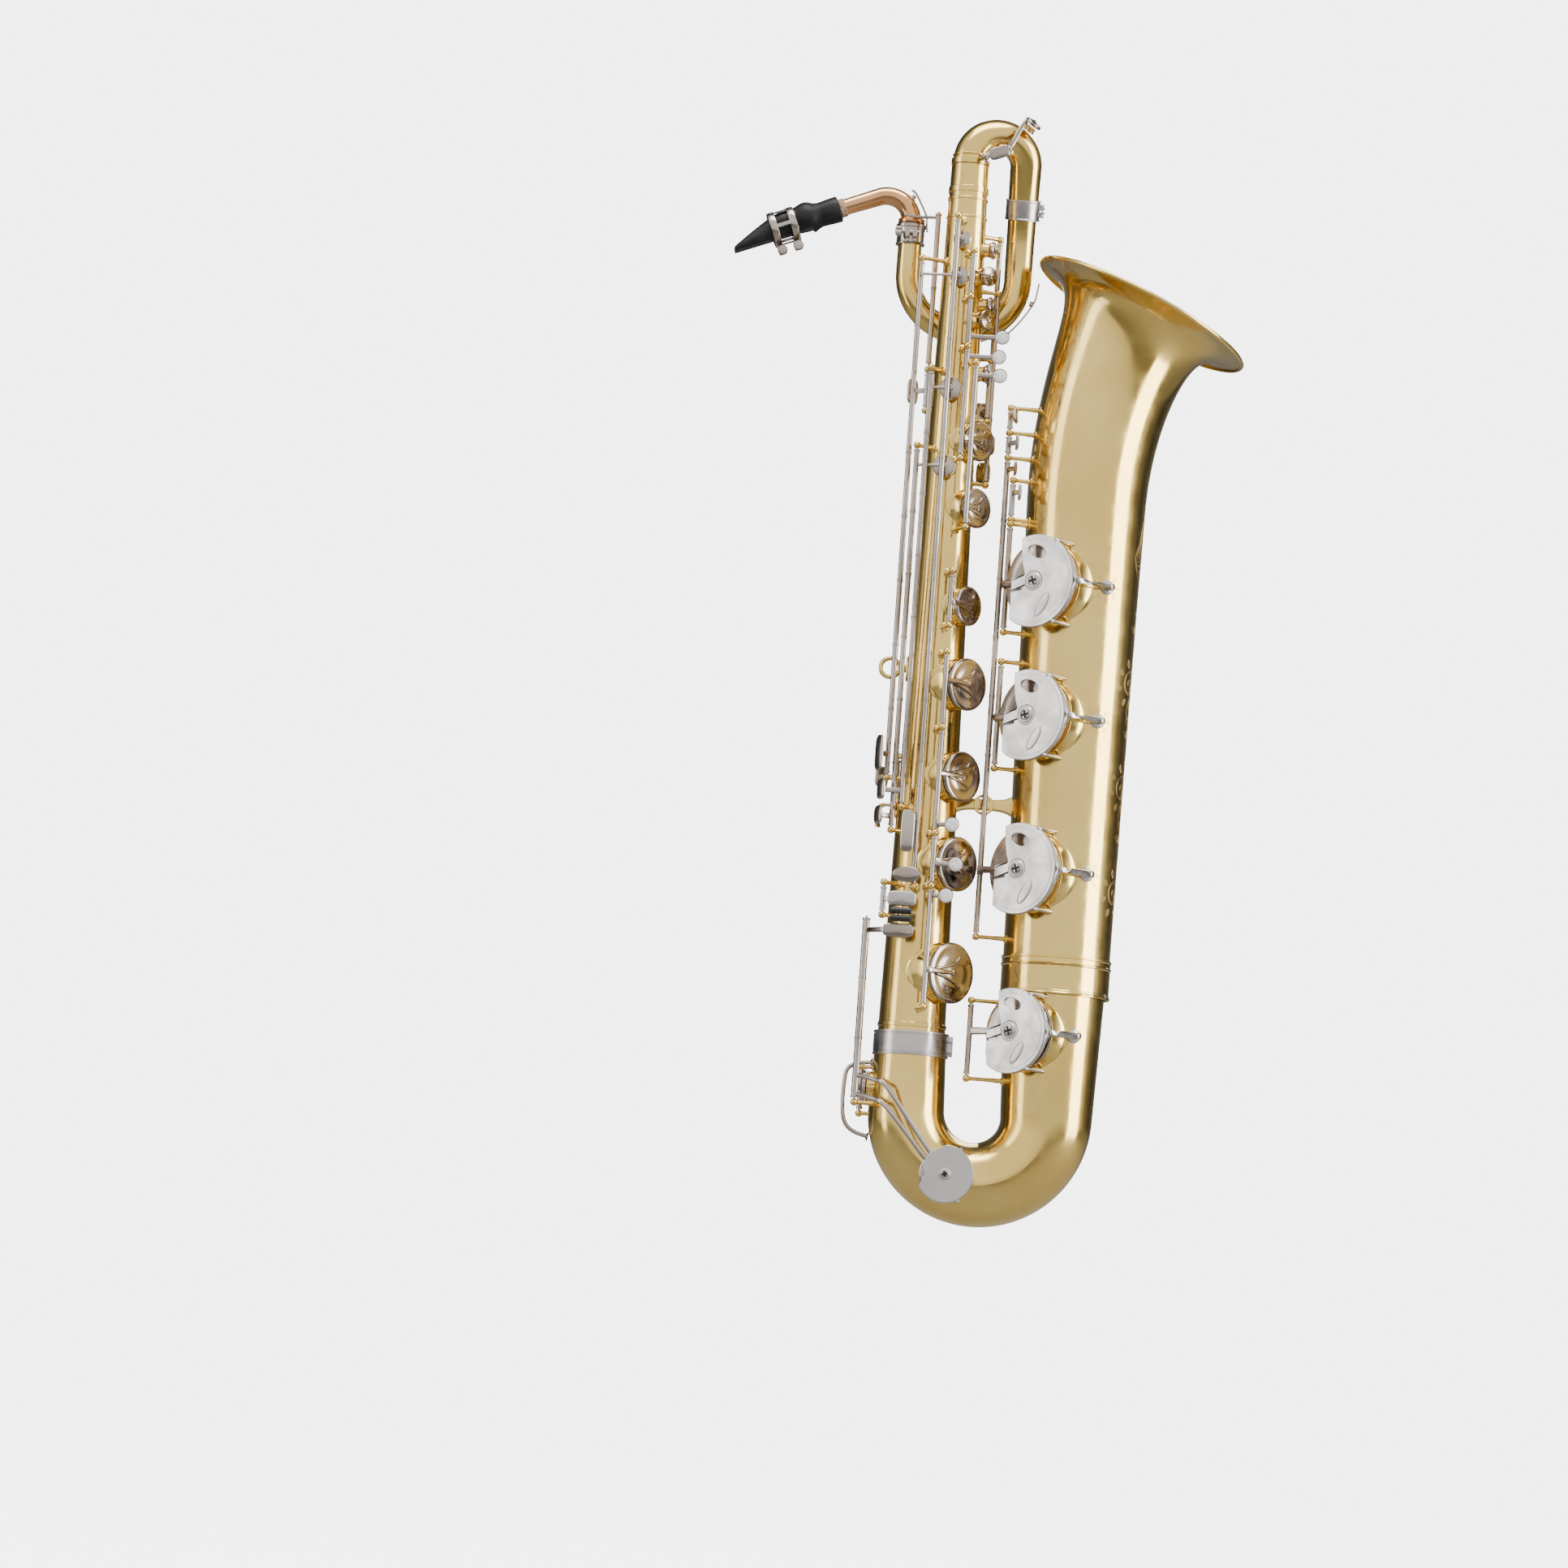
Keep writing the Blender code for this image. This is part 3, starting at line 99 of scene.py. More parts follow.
# --- shells worked out as arrays ----------------------------------------------------
class Shell:
    """Grids of points gathered into one mesh."""

    def __init__(self):
        self.points, self.quads, self.tris, self.count = [], [], [], 0

    def grid(self, p, close_u=False, close_v=True, cap_start=False, cap_end=False):
        """Quads over a grid p[u, v]; v runs round. Caps close an end with a fan."""
        nu, nv = p.shape[:2]
        index = np.arange(nu * nv).reshape(nu, nv) + self.count
        rows = np.concatenate([index, index[:1]]) if close_u else index
        cols = np.concatenate([rows, rows[:, :1]], 1) if close_v else rows
        quads = np.stack([cols[:-1, :-1], cols[:-1, 1:], cols[1:, 1:], cols[1:, :-1]], -1)
        self.quads.append(quads.reshape(-1, 4))
        self.points.append(p.reshape(-1, 3))
        self.count += nu * nv
        for wanted, ring, turn in ((cap_start, index[0], -1), (cap_end, index[-1], 1)):
            if wanted:
                hub = self.count
                self.points.append(p[0 if turn < 0 else -1].mean(0)[None])
                self.count += 1
                nxt = np.roll(ring, -1)
                fan = np.stack([ring, nxt, np.full_like(ring, hub)], -1)
                self.tris.append(fan if turn > 0 else fan[:, ::-1])
        return self

    def loose(self, points, polys):
        """Adds a ready mesh of points and faces."""
        for poly in polys:
            group = self.quads if len(poly) == 4 else self.tris
            if len(poly) <= 4:
                group.append(np.array([poly]) + self.count)
            else:
                fan = [(poly[0], poly[k], poly[k + 1]) for k in range(1, len(poly) - 1)]
                self.tris.append(np.array(fan) + self.count)
        self.points.append(np.asarray(points, float))
        self.count += len(points)
        return self

    def piece(self, name, material, body, slot, stands_for=(), smooth=32.0):
        """Makes the object: metres, in the frame's place, riding on its body."""
        points = (np.concatenate(self.points) - ORIGIN) * MM
        quads = np.concatenate(self.quads) if self.quads else np.zeros((0, 4), int)
        tris = np.concatenate(self.tris) if self.tris else np.zeros((0, 3), int)
        mesh = bpy.data.meshes.new(name)
        mesh.vertices.add(len(points))
        mesh.vertices.foreach_set("co", points.ravel())
        mesh.loops.add(quads.size + tris.size)
        mesh.loops.foreach_set("vertex_index", np.concatenate([quads.ravel(), tris.ravel()]))
        mesh.polygons.add(len(quads) + len(tris))
        starts = np.concatenate([np.arange(len(quads)) * 4, quads.size + np.arange(len(tris)) * 3])
        mesh.polygons.foreach_set("loop_start", starts)
        mesh.update(calc_edges=True)
        mesh.validate()
        mesh.materials.append(material)
        mesh.shade_smooth()
        mesh.set_sharp_from_angle(angle=math.radians(smooth))
        obj = bpy.data.objects.new(name, mesh)
        bpy.context.scene.collection.objects.link(obj)
        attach(obj, body)
        if stands_for:
            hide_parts(*stands_for)
        return obj


def unit(v):
    """Vector over its own length."""
    v = np.asarray(v, float)
    return v / np.linalg.norm(v, axis=-1, keepdims=True)


def side_axes(axis, ref=Y):
    """Two directions square to the axis (or to each of many axes)."""
    axis = unit(axis)
    ref = np.broadcast_to(ref, axis.shape)
    u = unit(ref - axis * (axis * ref).sum(-1, keepdims=True))
    return u, np.cross(axis, u)


def headings(path):
    """Direction of a path at each point, from its neighbours."""
    return unit(np.gradient(path, axis=0))


def pipe(path, radius, sides=24, ref=Y, wide=1.0):
    """Circle of the given radius carried along the path; wide stretches it along ref."""
    path = np.asarray(path, float)
    u, v = side_axes(headings(path), ref)
    a = np.linspace(0, TAU, sides, endpoint=False)
    r = np.broadcast_to(radius, len(path))[:, None, None]
    return path[:, None] + r * (wide * np.cos(a)[:, None] * u[:, None] + np.sin(a)[:, None] * v[:, None])


def turned(center, axis, profile, sides=32):
    """Profile of (height, radius) pairs turned round an axis through center."""
    axis = unit(axis)
    u, v = side_axes(axis, Y if abs(axis[1]) < 0.9 else np.array([1.0, 0, 0]))
    h, r = np.array(profile, float).T
    a = np.linspace(0, TAU, sides, endpoint=False)
    rim = np.cos(a)[:, None] * u + np.sin(a)[:, None] * v
    return np.asarray(center) + h[:, None, None] * axis + r[:, None, None] * rim


def lathe(shell, center, axis, profile, sides=32):
    """Turned solid whose two ends are closed flat or at a point."""
    return shell.grid(turned(center, axis, profile, sides), cap_start=True, cap_end=True)


def strap(path, wide, thick, flat, sides=16, square=0.55):
    """Rounded bar: a superellipse, wide by thick, carried along the path."""
    path = np.asarray(path, float)
    t = headings(path)
    flat = np.broadcast_to(np.asarray(flat, float), path.shape)
    f = unit(flat - t * (flat * t).sum(-1, keepdims=True))
    w = np.cross(t, f)
    a = np.linspace(0, TAU, sides, endpoint=False)
    c, s = np.cos(a), np.sin(a)
    c, s = np.sign(c) * np.abs(c) ** square, np.sign(s) * np.abs(s) ** square
    wide = np.broadcast_to(wide, len(path))[:, None, None] / 2
    thick = np.broadcast_to(thick, len(path))[:, None, None] / 2
    return path[:, None] + wide * c[:, None] * w[:, None] + thick * s[:, None] * f[:, None]


def curve_through(points, steps=8):
    """Smooth path through given points (Catmull-Rom)."""
    p = np.asarray(points, float)
    p = np.concatenate([[2 * p[0] - p[1]], p, [2 * p[-1] - p[-2]]])
    t = np.linspace(0, 1, steps, endpoint=False)[:, None]
    out = []
    for a, b, c, d in zip(p, p[1:], p[2:], p[3:]):
        out.append(0.5 * (2 * b + (c - a) * t + (2 * a - 5 * b + 4 * c - d) * t ** 2
                          + (3 * b - a - 3 * c + d) * t ** 3))
    return np.concatenate(out + [p[-2:-1]])


def plate(shell, outlines, thick, edge, center, right, up):
    """Flat plate with rounded edges; the first outline is its rim, the rest are windows."""
    curve = bpy.data.curves.new("plate_outline", "CURVE")
    curve.dimensions = "2D"
    curve.fill_mode = "BOTH"
    curve.extrude = thick / 2 - edge
    curve.bevel_depth = edge
    curve.bevel_resolution = 2
    curve.offset = -edge
    for outline in outlines:
        line = curve.splines.new("POLY")
        line.points.add(len(outline) - 1)
        flat_rows = np.column_stack([outline, np.zeros(len(outline)), np.ones(len(outline))])
        line.points.foreach_set("co", flat_rows.ravel())
        line.use_cyclic_u = True
    flat = bpy.data.objects.new("plate_outline", curve)
    bpy.context.scene.collection.objects.link(flat)
    mesh = bpy.data.meshes.new_from_object(flat)
    co = np.zeros(len(mesh.vertices) * 3)
    mesh.vertices.foreach_get("co", co)
    co = co.reshape(-1, 3)
    right, up = unit(right), unit(up)
    out = np.cross(right, up)
    placed = np.asarray(center) + co[:, :1] * right + co[:, 1:2] * up + co[:, 2:] * out
    shell.loose(placed, [tuple(f.vertices) for f in mesh.polygons])
    bpy.data.objects.remove(flat)
    bpy.data.curves.remove(curve)
    bpy.data.meshes.remove(mesh)
    return shell


# --- finishes ---------------------------------------------------------------------------
def finish(name, base, metallic, rough, coat=0.0, coat_rough=0.1, ior=1.5):
    """Principled material; the numbers that are the same all over sit on its sockets."""
    mat = bpy.data.materials.new(name)
    mat.use_nodes = True
    nodes, links = mat.node_tree.nodes, mat.node_tree.links
    shader = nodes["Principled BSDF"]
    shader.inputs["Base Color"].default_value = (*base, 1)
    shader.inputs["Metallic"].default_value = metallic
    shader.inputs["Roughness"].default_value = rough
    shader.inputs["Coat Weight"].default_value = coat
    shader.inputs["Coat Roughness"].default_value = coat_rough
    shader.inputs["IOR"].default_value = ior
    place = nodes.new("ShaderNodeTexCoord")

    def noise(scale, detail=4.0, stretch=(1, 1, 1)):
        fit = nodes.new("ShaderNodeMapping")
        fit.inputs["Scale"].default_value = stretch
        links.new(place.outputs["Object"], fit.inputs["Vector"])
        tex = nodes.new("ShaderNodeTexNoise")
        tex.inputs["Scale"].default_value = scale
        tex.inputs["Detail"].default_value = detail
        links.new(fit.outputs["Vector"], tex.inputs["Vector"])
        return tex.outputs["Fac"]

    def ramp(fac, low, high, start=0.35, end=0.65):
        node = nodes.new("ShaderNodeValToRGB")
        for stop, where, value in zip(node.color_ramp.elements, (start, end), (low, high)):
            stop.position = where
            stop.color = (*value, 1) if isinstance(value, tuple) else (value, value, value, 1)
        links.new(fac, node.inputs["Fac"])
        return node.outputs["Color"]

    def bump(height, strength, depth, after=None):
        node = nodes.new("ShaderNodeBump")
        node.inputs["Strength"].default_value = strength
        node.inputs["Distance"].default_value = depth
        links.new(height, node.inputs["Height"])
        if after:
            links.new(after.outputs["Normal"], node.inputs["Normal"])
        links.new(node.outputs["Normal"], shader.inputs["Normal"])
        return node

    def wire(value, socket):
        links.new(value, shader.inputs[socket])

    return mat, noise, ramp, bump, wire


def polished(name, light, dark, rough, coat=0.0):
    """Polished metal: faint cloudy colour, buffing lines along its length, small pits and smears."""
    mat, noise, ramp, bump, wire = finish(name, light, 1.0, rough, coat, 0.04)
    wire(ramp(noise(14.0, 3.0), dark, light, 0.38, 0.56), "Base Color")
    wire(ramp(noise(55.0, 5.0), rough * 0.75, rough * 1.45), "Roughness")
    buffing = bump(noise(900.0, 2.0, (1, 1, 0.04)), 0.05, 0.0002)
    bump(noise(9.0, 1.0), 0.05, 0.004, buffing)
    return mat


LACQUER = polished("lacquered_brass", (0.88, 0.63, 0.19), (0.82, 0.56, 0.15), 0.14, 0.2)
# darker lacquered brass for the bell's inside: painted shade of the hollow bell
LACQUER_SHADED_INSIDE = polished("lacquered_brass_painted_shade_inside", (0.80, 0.53, 0.17), (0.66, 0.41, 0.11), 0.26)
NICKEL = polished("nickel_plate", (0.50, 0.43, 0.38), (0.36, 0.30, 0.26), 0.15)
GUARD_NICKEL = polished("satin_nickel", (0.58, 0.55, 0.53), (0.50, 0.47, 0.45), 0.26)
COPPER = polished("rose_brass", (0.78, 0.42, 0.19), (0.68, 0.33, 0.13), 0.15, 0.2)
# darker brass for the engraving strokes: painted shade of cut lines
ENGRAVING_GROOVE_SHADE = polished("engraved_brass_painted_groove_shade", (0.50, 0.34, 0.13), (0.34, 0.21, 0.07), 0.42)


def cork():
    """Pale sheet cork: mottled brown cells with darker pores."""
    mat, noise, ramp, bump, wire = finish("cork", (0.5, 0.33, 0.2), 0.0, 0.85)
    wire(ramp(noise(420.0, 8.0), (0.24, 0.12, 0.06), (0.62, 0.40, 0.25), 0.36, 0.56), "Base Color")
    bump(noise(650.0, 6.0), 0.6, 0.0004)
    return mat


def hard_rubber_and_slot_shade():
    """Black hard rubber with a soft sheen, fine turning lines and dull worn spots; its black also serves as
    painted shade in guard grooves and screw slots.
    """
    mat, noise, ramp, bump, wire = finish("hard_rubber_and_slot_shade", (0.012, 0.012, 0.013), 0.0, 0.4, 0.0, 0.2, 1.28)
    wire(ramp(noise(45.0, 5.0), (0.008, 0.008, 0.009), (0.022, 0.021, 0.021)), "Base Color")
    wire(ramp(noise(90.0, 6.0), 0.34, 0.52), "Roughness")
    bump(noise(1100.0, 2.0), 0.08, 0.0002)
    return mat


def pearl():
    """Pearl inlay: creamy, with soft pink and green clouds under a clear coat."""
    mat, noise, ramp, bump, wire = finish("pearl", (0.8, 0.78, 0.72), 0.0, 0.22, 0.8, 0.05)
    wire(ramp(noise(190.0, 5.0), (0.70, 0.66, 0.60), (0.88, 0.89, 0.85), 0.4, 0.6), "Base Color")
    return mat


def leather():
    """Tan pad skin, slightly grained."""
    mat, noise, ramp, bump, wire = finish("pad_leather", (0.4, 0.25, 0.14), 0.0, 0.6)
    wire(ramp(noise(120.0, 5.0), (0.30, 0.17, 0.08), (0.48, 0.31, 0.18)), "Base Color")
    bump(noise(900.0, 4.0), 0.4, 0.0003)
    return mat


def roller_black():
    """Black moulded roller with faint scuffs."""
    mat, noise, ramp, bump, wire = finish("roller_black", (0.015, 0.015, 0.016), 0.0, 0.3)
    wire(ramp(noise(220.0, 5.0), 0.2, 0.4), "Roughness")
    bump(noise(900.0, 2.0), 0.1, 0.0002)
    return mat


CORK, RUBBER_AND_SLOT_SHADE = cork(), hard_rubber_and_slot_shade()
PEARL, LEATHER, ROLLER = pearl(), leather(), roller_black()


# --- the horn's tubes --------------------------------------------------------------------
def body_r(z):
    """Outer radius of the body tube: a straight taper."""
    return BODY_FOOT_R + (BODY_HEAD_R - BODY_FOOT_R) * z / BODY_LENGTH


def bell_axis(s):
    """Bell axis at lengths s: straight up, then an arc that leans forward. Returns points, headings."""
    s = np.asarray(s, float)
    a = np.maximum(s - BELL_STRAIGHT, 0.0) / BELL_BEND_R
    x = BELL_X + BELL_BEND_R * (1 - np.cos(a))
    z = BOW_LEG + np.minimum(s, BELL_STRAIGHT) + BELL_BEND_R * np.sin(a)
    zero = np.zeros_like(x)
    return np.stack([x, zero, z], -1), np.stack([np.sin(a), zero, np.cos(a)], -1)


def bell_r(s):
    """Bell radius: a slight taper plus a flare that opens like one over the root of what is left."""
    left = BELL_LENGTH - np.asarray(s, float)
    return THROAT_R - TAPER * left + (RIM_R - THROAT_R) * np.sqrt(SHARP / (left + SHARP))


BOW_RUN = BOW_DROP + math.pi * BELL_X / 2 + BOW_DROP + BOW_LEG


def bow_axis(count=90):
    """Bottom bow axis: down, half a circle, and up."""
    a = np.linspace(math.pi, TAU, count)
    mid = np.stack([BELL_X / 2 * (1 + np.cos(a)), np.zeros(count), BELL_X / 2 * np.sin(a) - BOW_DROP], -1)
    down = np.array([[0, 0, z] for z in np.linspace(-0.3, -BOW_DROP, 24)[:-1]])
    up = np.array([[BELL_X, 0, z] for z in np.linspace(-BOW_DROP, BOW_LEG, 40)[1:]])
    return np.concatenate([down, mid, up])


def run_of(path):
    """Share of a path's length reached at each point."""
    steps = np.linalg.norm(np.diff(path, axis=0), axis=1)
    total = np.concatenate([[0], np.cumsum(steps)])
    return total / total[-1]


def bow_r(share):
    """Radius of the bottom bow at a share of its run: a straight taper."""
    return BOW_FOOT_R + (BOW_BELL_R - BOW_FOOT_R) * share


def bow_leg_r(z):
    """Radius of the bow's bell leg at height z, from its share of the run."""
    return bow_r((BOW_DROP + math.pi * BELL_X / 2 + BOW_DROP + z) / BOW_RUN)


TUBES = {
    "body": (lambda z: np.array([0.0, 0.0, z]), body_r),
    "bow": (lambda z: np.array([BELL_X, 0.0, z]), bow_leg_r),
    "bell": (lambda z: np.array([BELL_X + BELL_BEND_R - math.sqrt(
        BELL_BEND_R ** 2 - max(z - BOW_LEG - BELL_STRAIGHT, 0.0) ** 2), 0.0, z]),
        lambda z: float(bell_r(z - BOW_LEG))),
}


def facing(phi):
    """Level direction phi degrees round from the player's right (-Y) towards the bell (+X)."""
    a = math.radians(phi)
    return np.array([math.sin(a), -math.cos(a), 0.0])


def hollow(shell, path, radius, wall, sides, lip=0.0):
    """Tube with an outer wall, an inner wall and flat ring ends."""
    outer, inner = pipe(path, radius, sides), pipe(path, radius - wall, sides)
    return shell.grid(np.concatenate([outer, inner[::-1], outer[:1]]))


def band(shell, center, axis, inner, profile, sides=96):
    """Ring with a shaped outside: profile of (height, how far it stands out)."""
    h = [p[0] for p in profile]
    rows = [(h[0], inner)] + [(a, inner + b) for a, b in profile] + [(h[-1], inner)]
    return shell.grid(turned(center, axis, rows + rows[:1], sides))


def rolled(half, out, edge=0.5):
    """Profile of a flat band with rounded edges."""
    return [(-half, out * 0.4), (-half + edge * 0.4, out * 0.85), (-half + edge, out),
            (half - edge, out), (half - edge * 0.4, out * 0.85), (half, out * 0.4)]


def chimney_rim(shell, center, out, tube_r, r, sides):
    """Tone hole chimney: its foot follows the tube, its wall ends in a rolled rim, and it is open."""
    out = unit(out)
    outer = r - 2.0
    u, v = side_axes(out, Z)
    a = np.linspace(0, TAU, sides, endpoint=False)
    across = outer * np.cos(a + math.pi / 2)
    foot = np.sqrt(np.maximum(tube_r ** 2 - across ** 2, 1.0))
    top = tube_r + CHIMNEY_H
    fillet = min(2.5, outer * 0.25)
    rows = [(foot - 1.5, outer + fillet * 0.9), (foot + 0.2, outer + fillet * 0.35), (foot + 1.6,
                                                                                      outer + 0.1),
            (top - 1.6 + foot * 0, outer), (top - 1.2 + foot * 0, outer + 0.7), (top - 0.5 + foot * 0,
                                                                                 outer + 0.9),
            (top + foot * 0, outer + 0.4), (top + foot * 0, outer - 0.6), (top - 1.0 + foot * 0, outer - 1.2),
            (foot - 3.5, outer - 1.2), (foot - 3.5, outer + fillet)]
    rim = np.cos(a)[:, None] * u + np.sin(a)[:, None] * v
    grid = np.stack([center + h[:, None] * out + rr * rim for h, rr in rows])
    return shell.grid(np.concatenate([grid, grid[:1]]))


# --- keys: tube, height, cup radius, facing, opening in degrees, rod foot and head ------
CUP_KEYS = {
    "key_low_a": ("bell", 437.0, 41.0, -37.0, 5.5, 396.0, 492.0),
    "key_low_bflat": ("bell", 310.0, 40.0, -37.0, 5.5, 266.0, 360.0),
    "key_low_b": ("bell", 165.0, 40.0, -37.0, 5.5, 106.0, 556.0),
    "key_low_csharp": ("bow", 13.0, 37.0, -37.0, 0.0, -28.0, 38.0),
    "key_d": ("body", 65.0, 29.0, 50.0, 6.0, 34.0, 140.0),
    "key_e": ("body", 168.0, 26.0, 50.0, 6.0, 148.0, 190.0),
    "key_f": ("body", 251.0, 24.0, 50.0, 6.0, 198.0, 290.0),
    "key_fsharp": ("body", 339.0, 25.0, 50.0, 6.0, 298.0, 362.0),
    "key_gsharp": ("body", 414.0, 19.0, 50.0, 0.0, 396.0, 440.0),
    "key_g": ("body", 508.0, 19.0, 50.0, 6.0, 490.0, 640.0),
    "key_a": ("body", 572.0, 19.0, 50.0, 6.0, 556.0, 656.0),
    "key_c": ("body", 690.0, 9.5, 50.0, 8.0, 664.0, 704.0),
    "key_bis": ("body", 732.0, 9.5, 50.0, 8.0, 712.0, 748.0),
    "key_side_bflat": ("body", 545.0, 11.0, -12.0, 0.0, 200.0, 560.0),
    "key_side_c": ("body", 620.0, 11.0, -10.0, 0.0, 222.0, 634.0),
    "key_high_e": ("body", 729.0, 9.0, -8.0, 0.0, 250.0, 742.0),
    "key_high_fsharp": ("body", 765.0, 8.5, -8.0, 0.0, 146.0, 780.0),
    "key_palm_d": ("body", 640.0, 9.0, 78.0, 0.0, 600.0, 652.0),
    "key_palm_eflat": ("body", 706.0, 9.0, 78.0, 0.0, 540.0, 718.0),
    "key_palm_f": ("body", 760.0, 8.5, 78.0, 0.0, 570.0, 772.0),
}
# round pearl touches: height and place
PEARLS = {
    "key_d": (135.0, (22.0, -58.0)), "key_e": (165.0, (29.0, -58.0)), "key_f": (202.0, (23.0, -58.0)),
    "key_c": (669.0, (40.0, -46.0)), "key_a": (650.0, (38.0, -46.0)), "key_g": (632.0, (40.0, -46.0)),
}
# plate touches: height, place, facing, width, height of the plate
PADDLES = {
    "key_low_b": (547.0, (61.0, -33.0), 90.0, 20.0, 13.0),
    "key_side_bflat": (209.0, (-46.0, -34.0), -60.0, 13.0, 17.0),
    "key_side_c": (233.0, (-45.0, -36.0), -60.0, 13.0, 19.0),
    "key_high_e": (268.0, (-49.0, -30.0), -60.0, 13.0, 34.0),
    "key_high_fsharp": (194.0, (-18.0, -52.0), -12.0, 13.0, 40.0),
    "key_palm_d": (608.0, (27.0, 34.0), 175.0, 14.0, 22.0),
    "key_palm_eflat": (551.0, (33.0, 37.0), 165.0, 14.0, 22.0),
    "key_palm_f": (580.0, (36.0, 41.0), 160.0, 14.0, 20.0),
}
# touches that turn on their own: tube, rod foot and head, plate as above
DRIVERS = {
    "touch_low_bflat": ("bell", 504.0, 534.0, (524.0, (66.5, -37.0), 90.0, 18.0, 15.0)),
    "touch_low_csharp": ("bell", 564.0, 580.0, (572.0, (61.0, -33.0), 90.0, 20.0, 14.0)),
    "touch_gsharp": ("bell", 588.0, 604.0, (598.0, (58.0, -36.0), 80.0, 22.0, 16.0)),
    "touch_low_a": ("body", 236.0, 268.0, (252.0, (-44.0, 34.0), -140.0, 16.0, 20.0)),
    "touch_low_eflat": ("body", 119.0, 142.0, (130.0, (-19.0, -50.0), -5.0, 27.0, 14.0)),
    "octave_lever": ("body", 608.0, 640.0, (624.0, (-40.0, 26.0), -130.0, 16.0, 24.0)),
}
GUARD_FOOT = 24.0
LOW_C_AT, LOW_C_R, LOW_C_OPEN, EFLAT_Z, EFLAT_R = math.radians(65.0), 22.0, 4.0, -46.0, 17.0
LOW_C_MID = np.array([BELL_X / 2 * (1 - math.cos(LOW_C_AT)), 0.0,
                      -BOW_DROP - BELL_X / 2 * math.sin(LOW_C_AT)])
LOW_C_BOW_R = bow_r((BOW_DROP + LOW_C_AT * BELL_X / 2) / BOW_RUN)
C_LINE = hinge_line("key_low_c")[:2]
E_LINE = hinge_line("key_low_eflat")[:2]


def post(shell, center, target, tube_r):
    """Turned post: dished flange on the tube, waisted stem and a ball for its pivot screw."""
    center, target = np.asarray(center, float), np.asarray(target, float)
    out, reach = unit(target - center), np.linalg.norm(target - center)
    ball = np.linspace(-1.15, 1.5, 9)
    rows = [(tube_r - 1.0, 4.6), (tube_r + 0.5, 4.4), (tube_r + 1.1, 3.6), (tube_r + 1.6, 2.4),
            ((tube_r + reach) / 2, 1.9), (reach - BALL_R, 2.0)]
    rows += [(reach + BALL_R * math.sin(b), BALL_R * math.cos(b)) for b in ball]
    lathe(shell, center, out, rows, 18)


def posts_on(shell, wanted):
    """Posts at both ends of every rod carried by one tube; rods that meet share a post."""
    rods = [(body, t if t != "bow" or z < BOW_LEG else "bell", foot, head)
            for body, (t, z, r, phi, rest, foot, head) in CUP_KEYS.items()]
    rods += [(body, t, foot, head) for body, (t, foot, head, plate_at) in DRIVERS.items()]
    spots = {}
    for body, tube, foot, head in rods:
        if tube == wanted:
            line = tuple(np.round(hinge_line(body)[:2], 1))
            spots.setdefault(line, []).extend([foot - BALL_R - 0.3, head + BALL_R + 0.3])
    for line, heights in spots.items():
        last = -1e9
        for z in sorted(heights):
            if z - last > 3.0:
                post(shell, TUBES[wanted][0](z), [*line, z], TUBES[wanted][1](z))
                last = z


def make_body_tube():
    """Tapered body tube with chimneys, posts and two soldered rings."""
    z = np.linspace(0.3, BODY_LENGTH, 60)
    path = np.stack([z * 0, z * 0, z], -1)
    shell = hollow(Shell(), path, body_r(z), WALL, 96)
    for at, half in ((BODY_LENGTH - 24, 3.0), (BODY_LENGTH - 33, 1.4), (14.5, 2.2), (790.0, 1.0)):
        band(shell, [0, 0, at], Z, body_r(at) - 0.6, rolled(half, 1.5), 72)
    for name, (tube, z, r, phi, rest, foot, head) in CUP_KEYS.items():
        if tube == "body":
            chimney_rim(shell, TUBES[tube][0](z), facing(phi), body_r(z), r, 64 if r > 15 else 32)
    posts_on(shell, "body")
    shell.piece("body_tube_fine", LACQUER, "root", "lacquer", ["body_tube"])


def make_bottom_bow():
    """Bottom bow: U of growing bore, its chimneys and posts."""
    path = bow_axis()
    shell = hollow(Shell(), path, bow_r(run_of(path)), WALL, 96)
    chimney_rim(shell, np.array([BELL_X, 0, 13.0]), facing(-37.0), bow_leg_r(13.0), 37.0, 72)
    chimney_rim(shell, LOW_C_MID, facing(0.0), LOW_C_BOW_R, LOW_C_R, 64)
    chimney_rim(shell, np.array([0, 0, EFLAT_Z]), facing(-90.0), BOW_FOOT_R, EFLAT_R, 48)
    posts_on(shell, "bow")
    for z in (-62.0, ):
        post(shell, [0, 0, z], [*C_LINE, z], BOW_FOOT_R)
    for z in (-70.0, -26.0):
        post(shell, [0, 0, z], [*E_LINE, z], BOW_FOOT_R)
    shell.piece("bottom_bow_fine", LACQUER, "root", "lacquer", ["bottom_bow"])


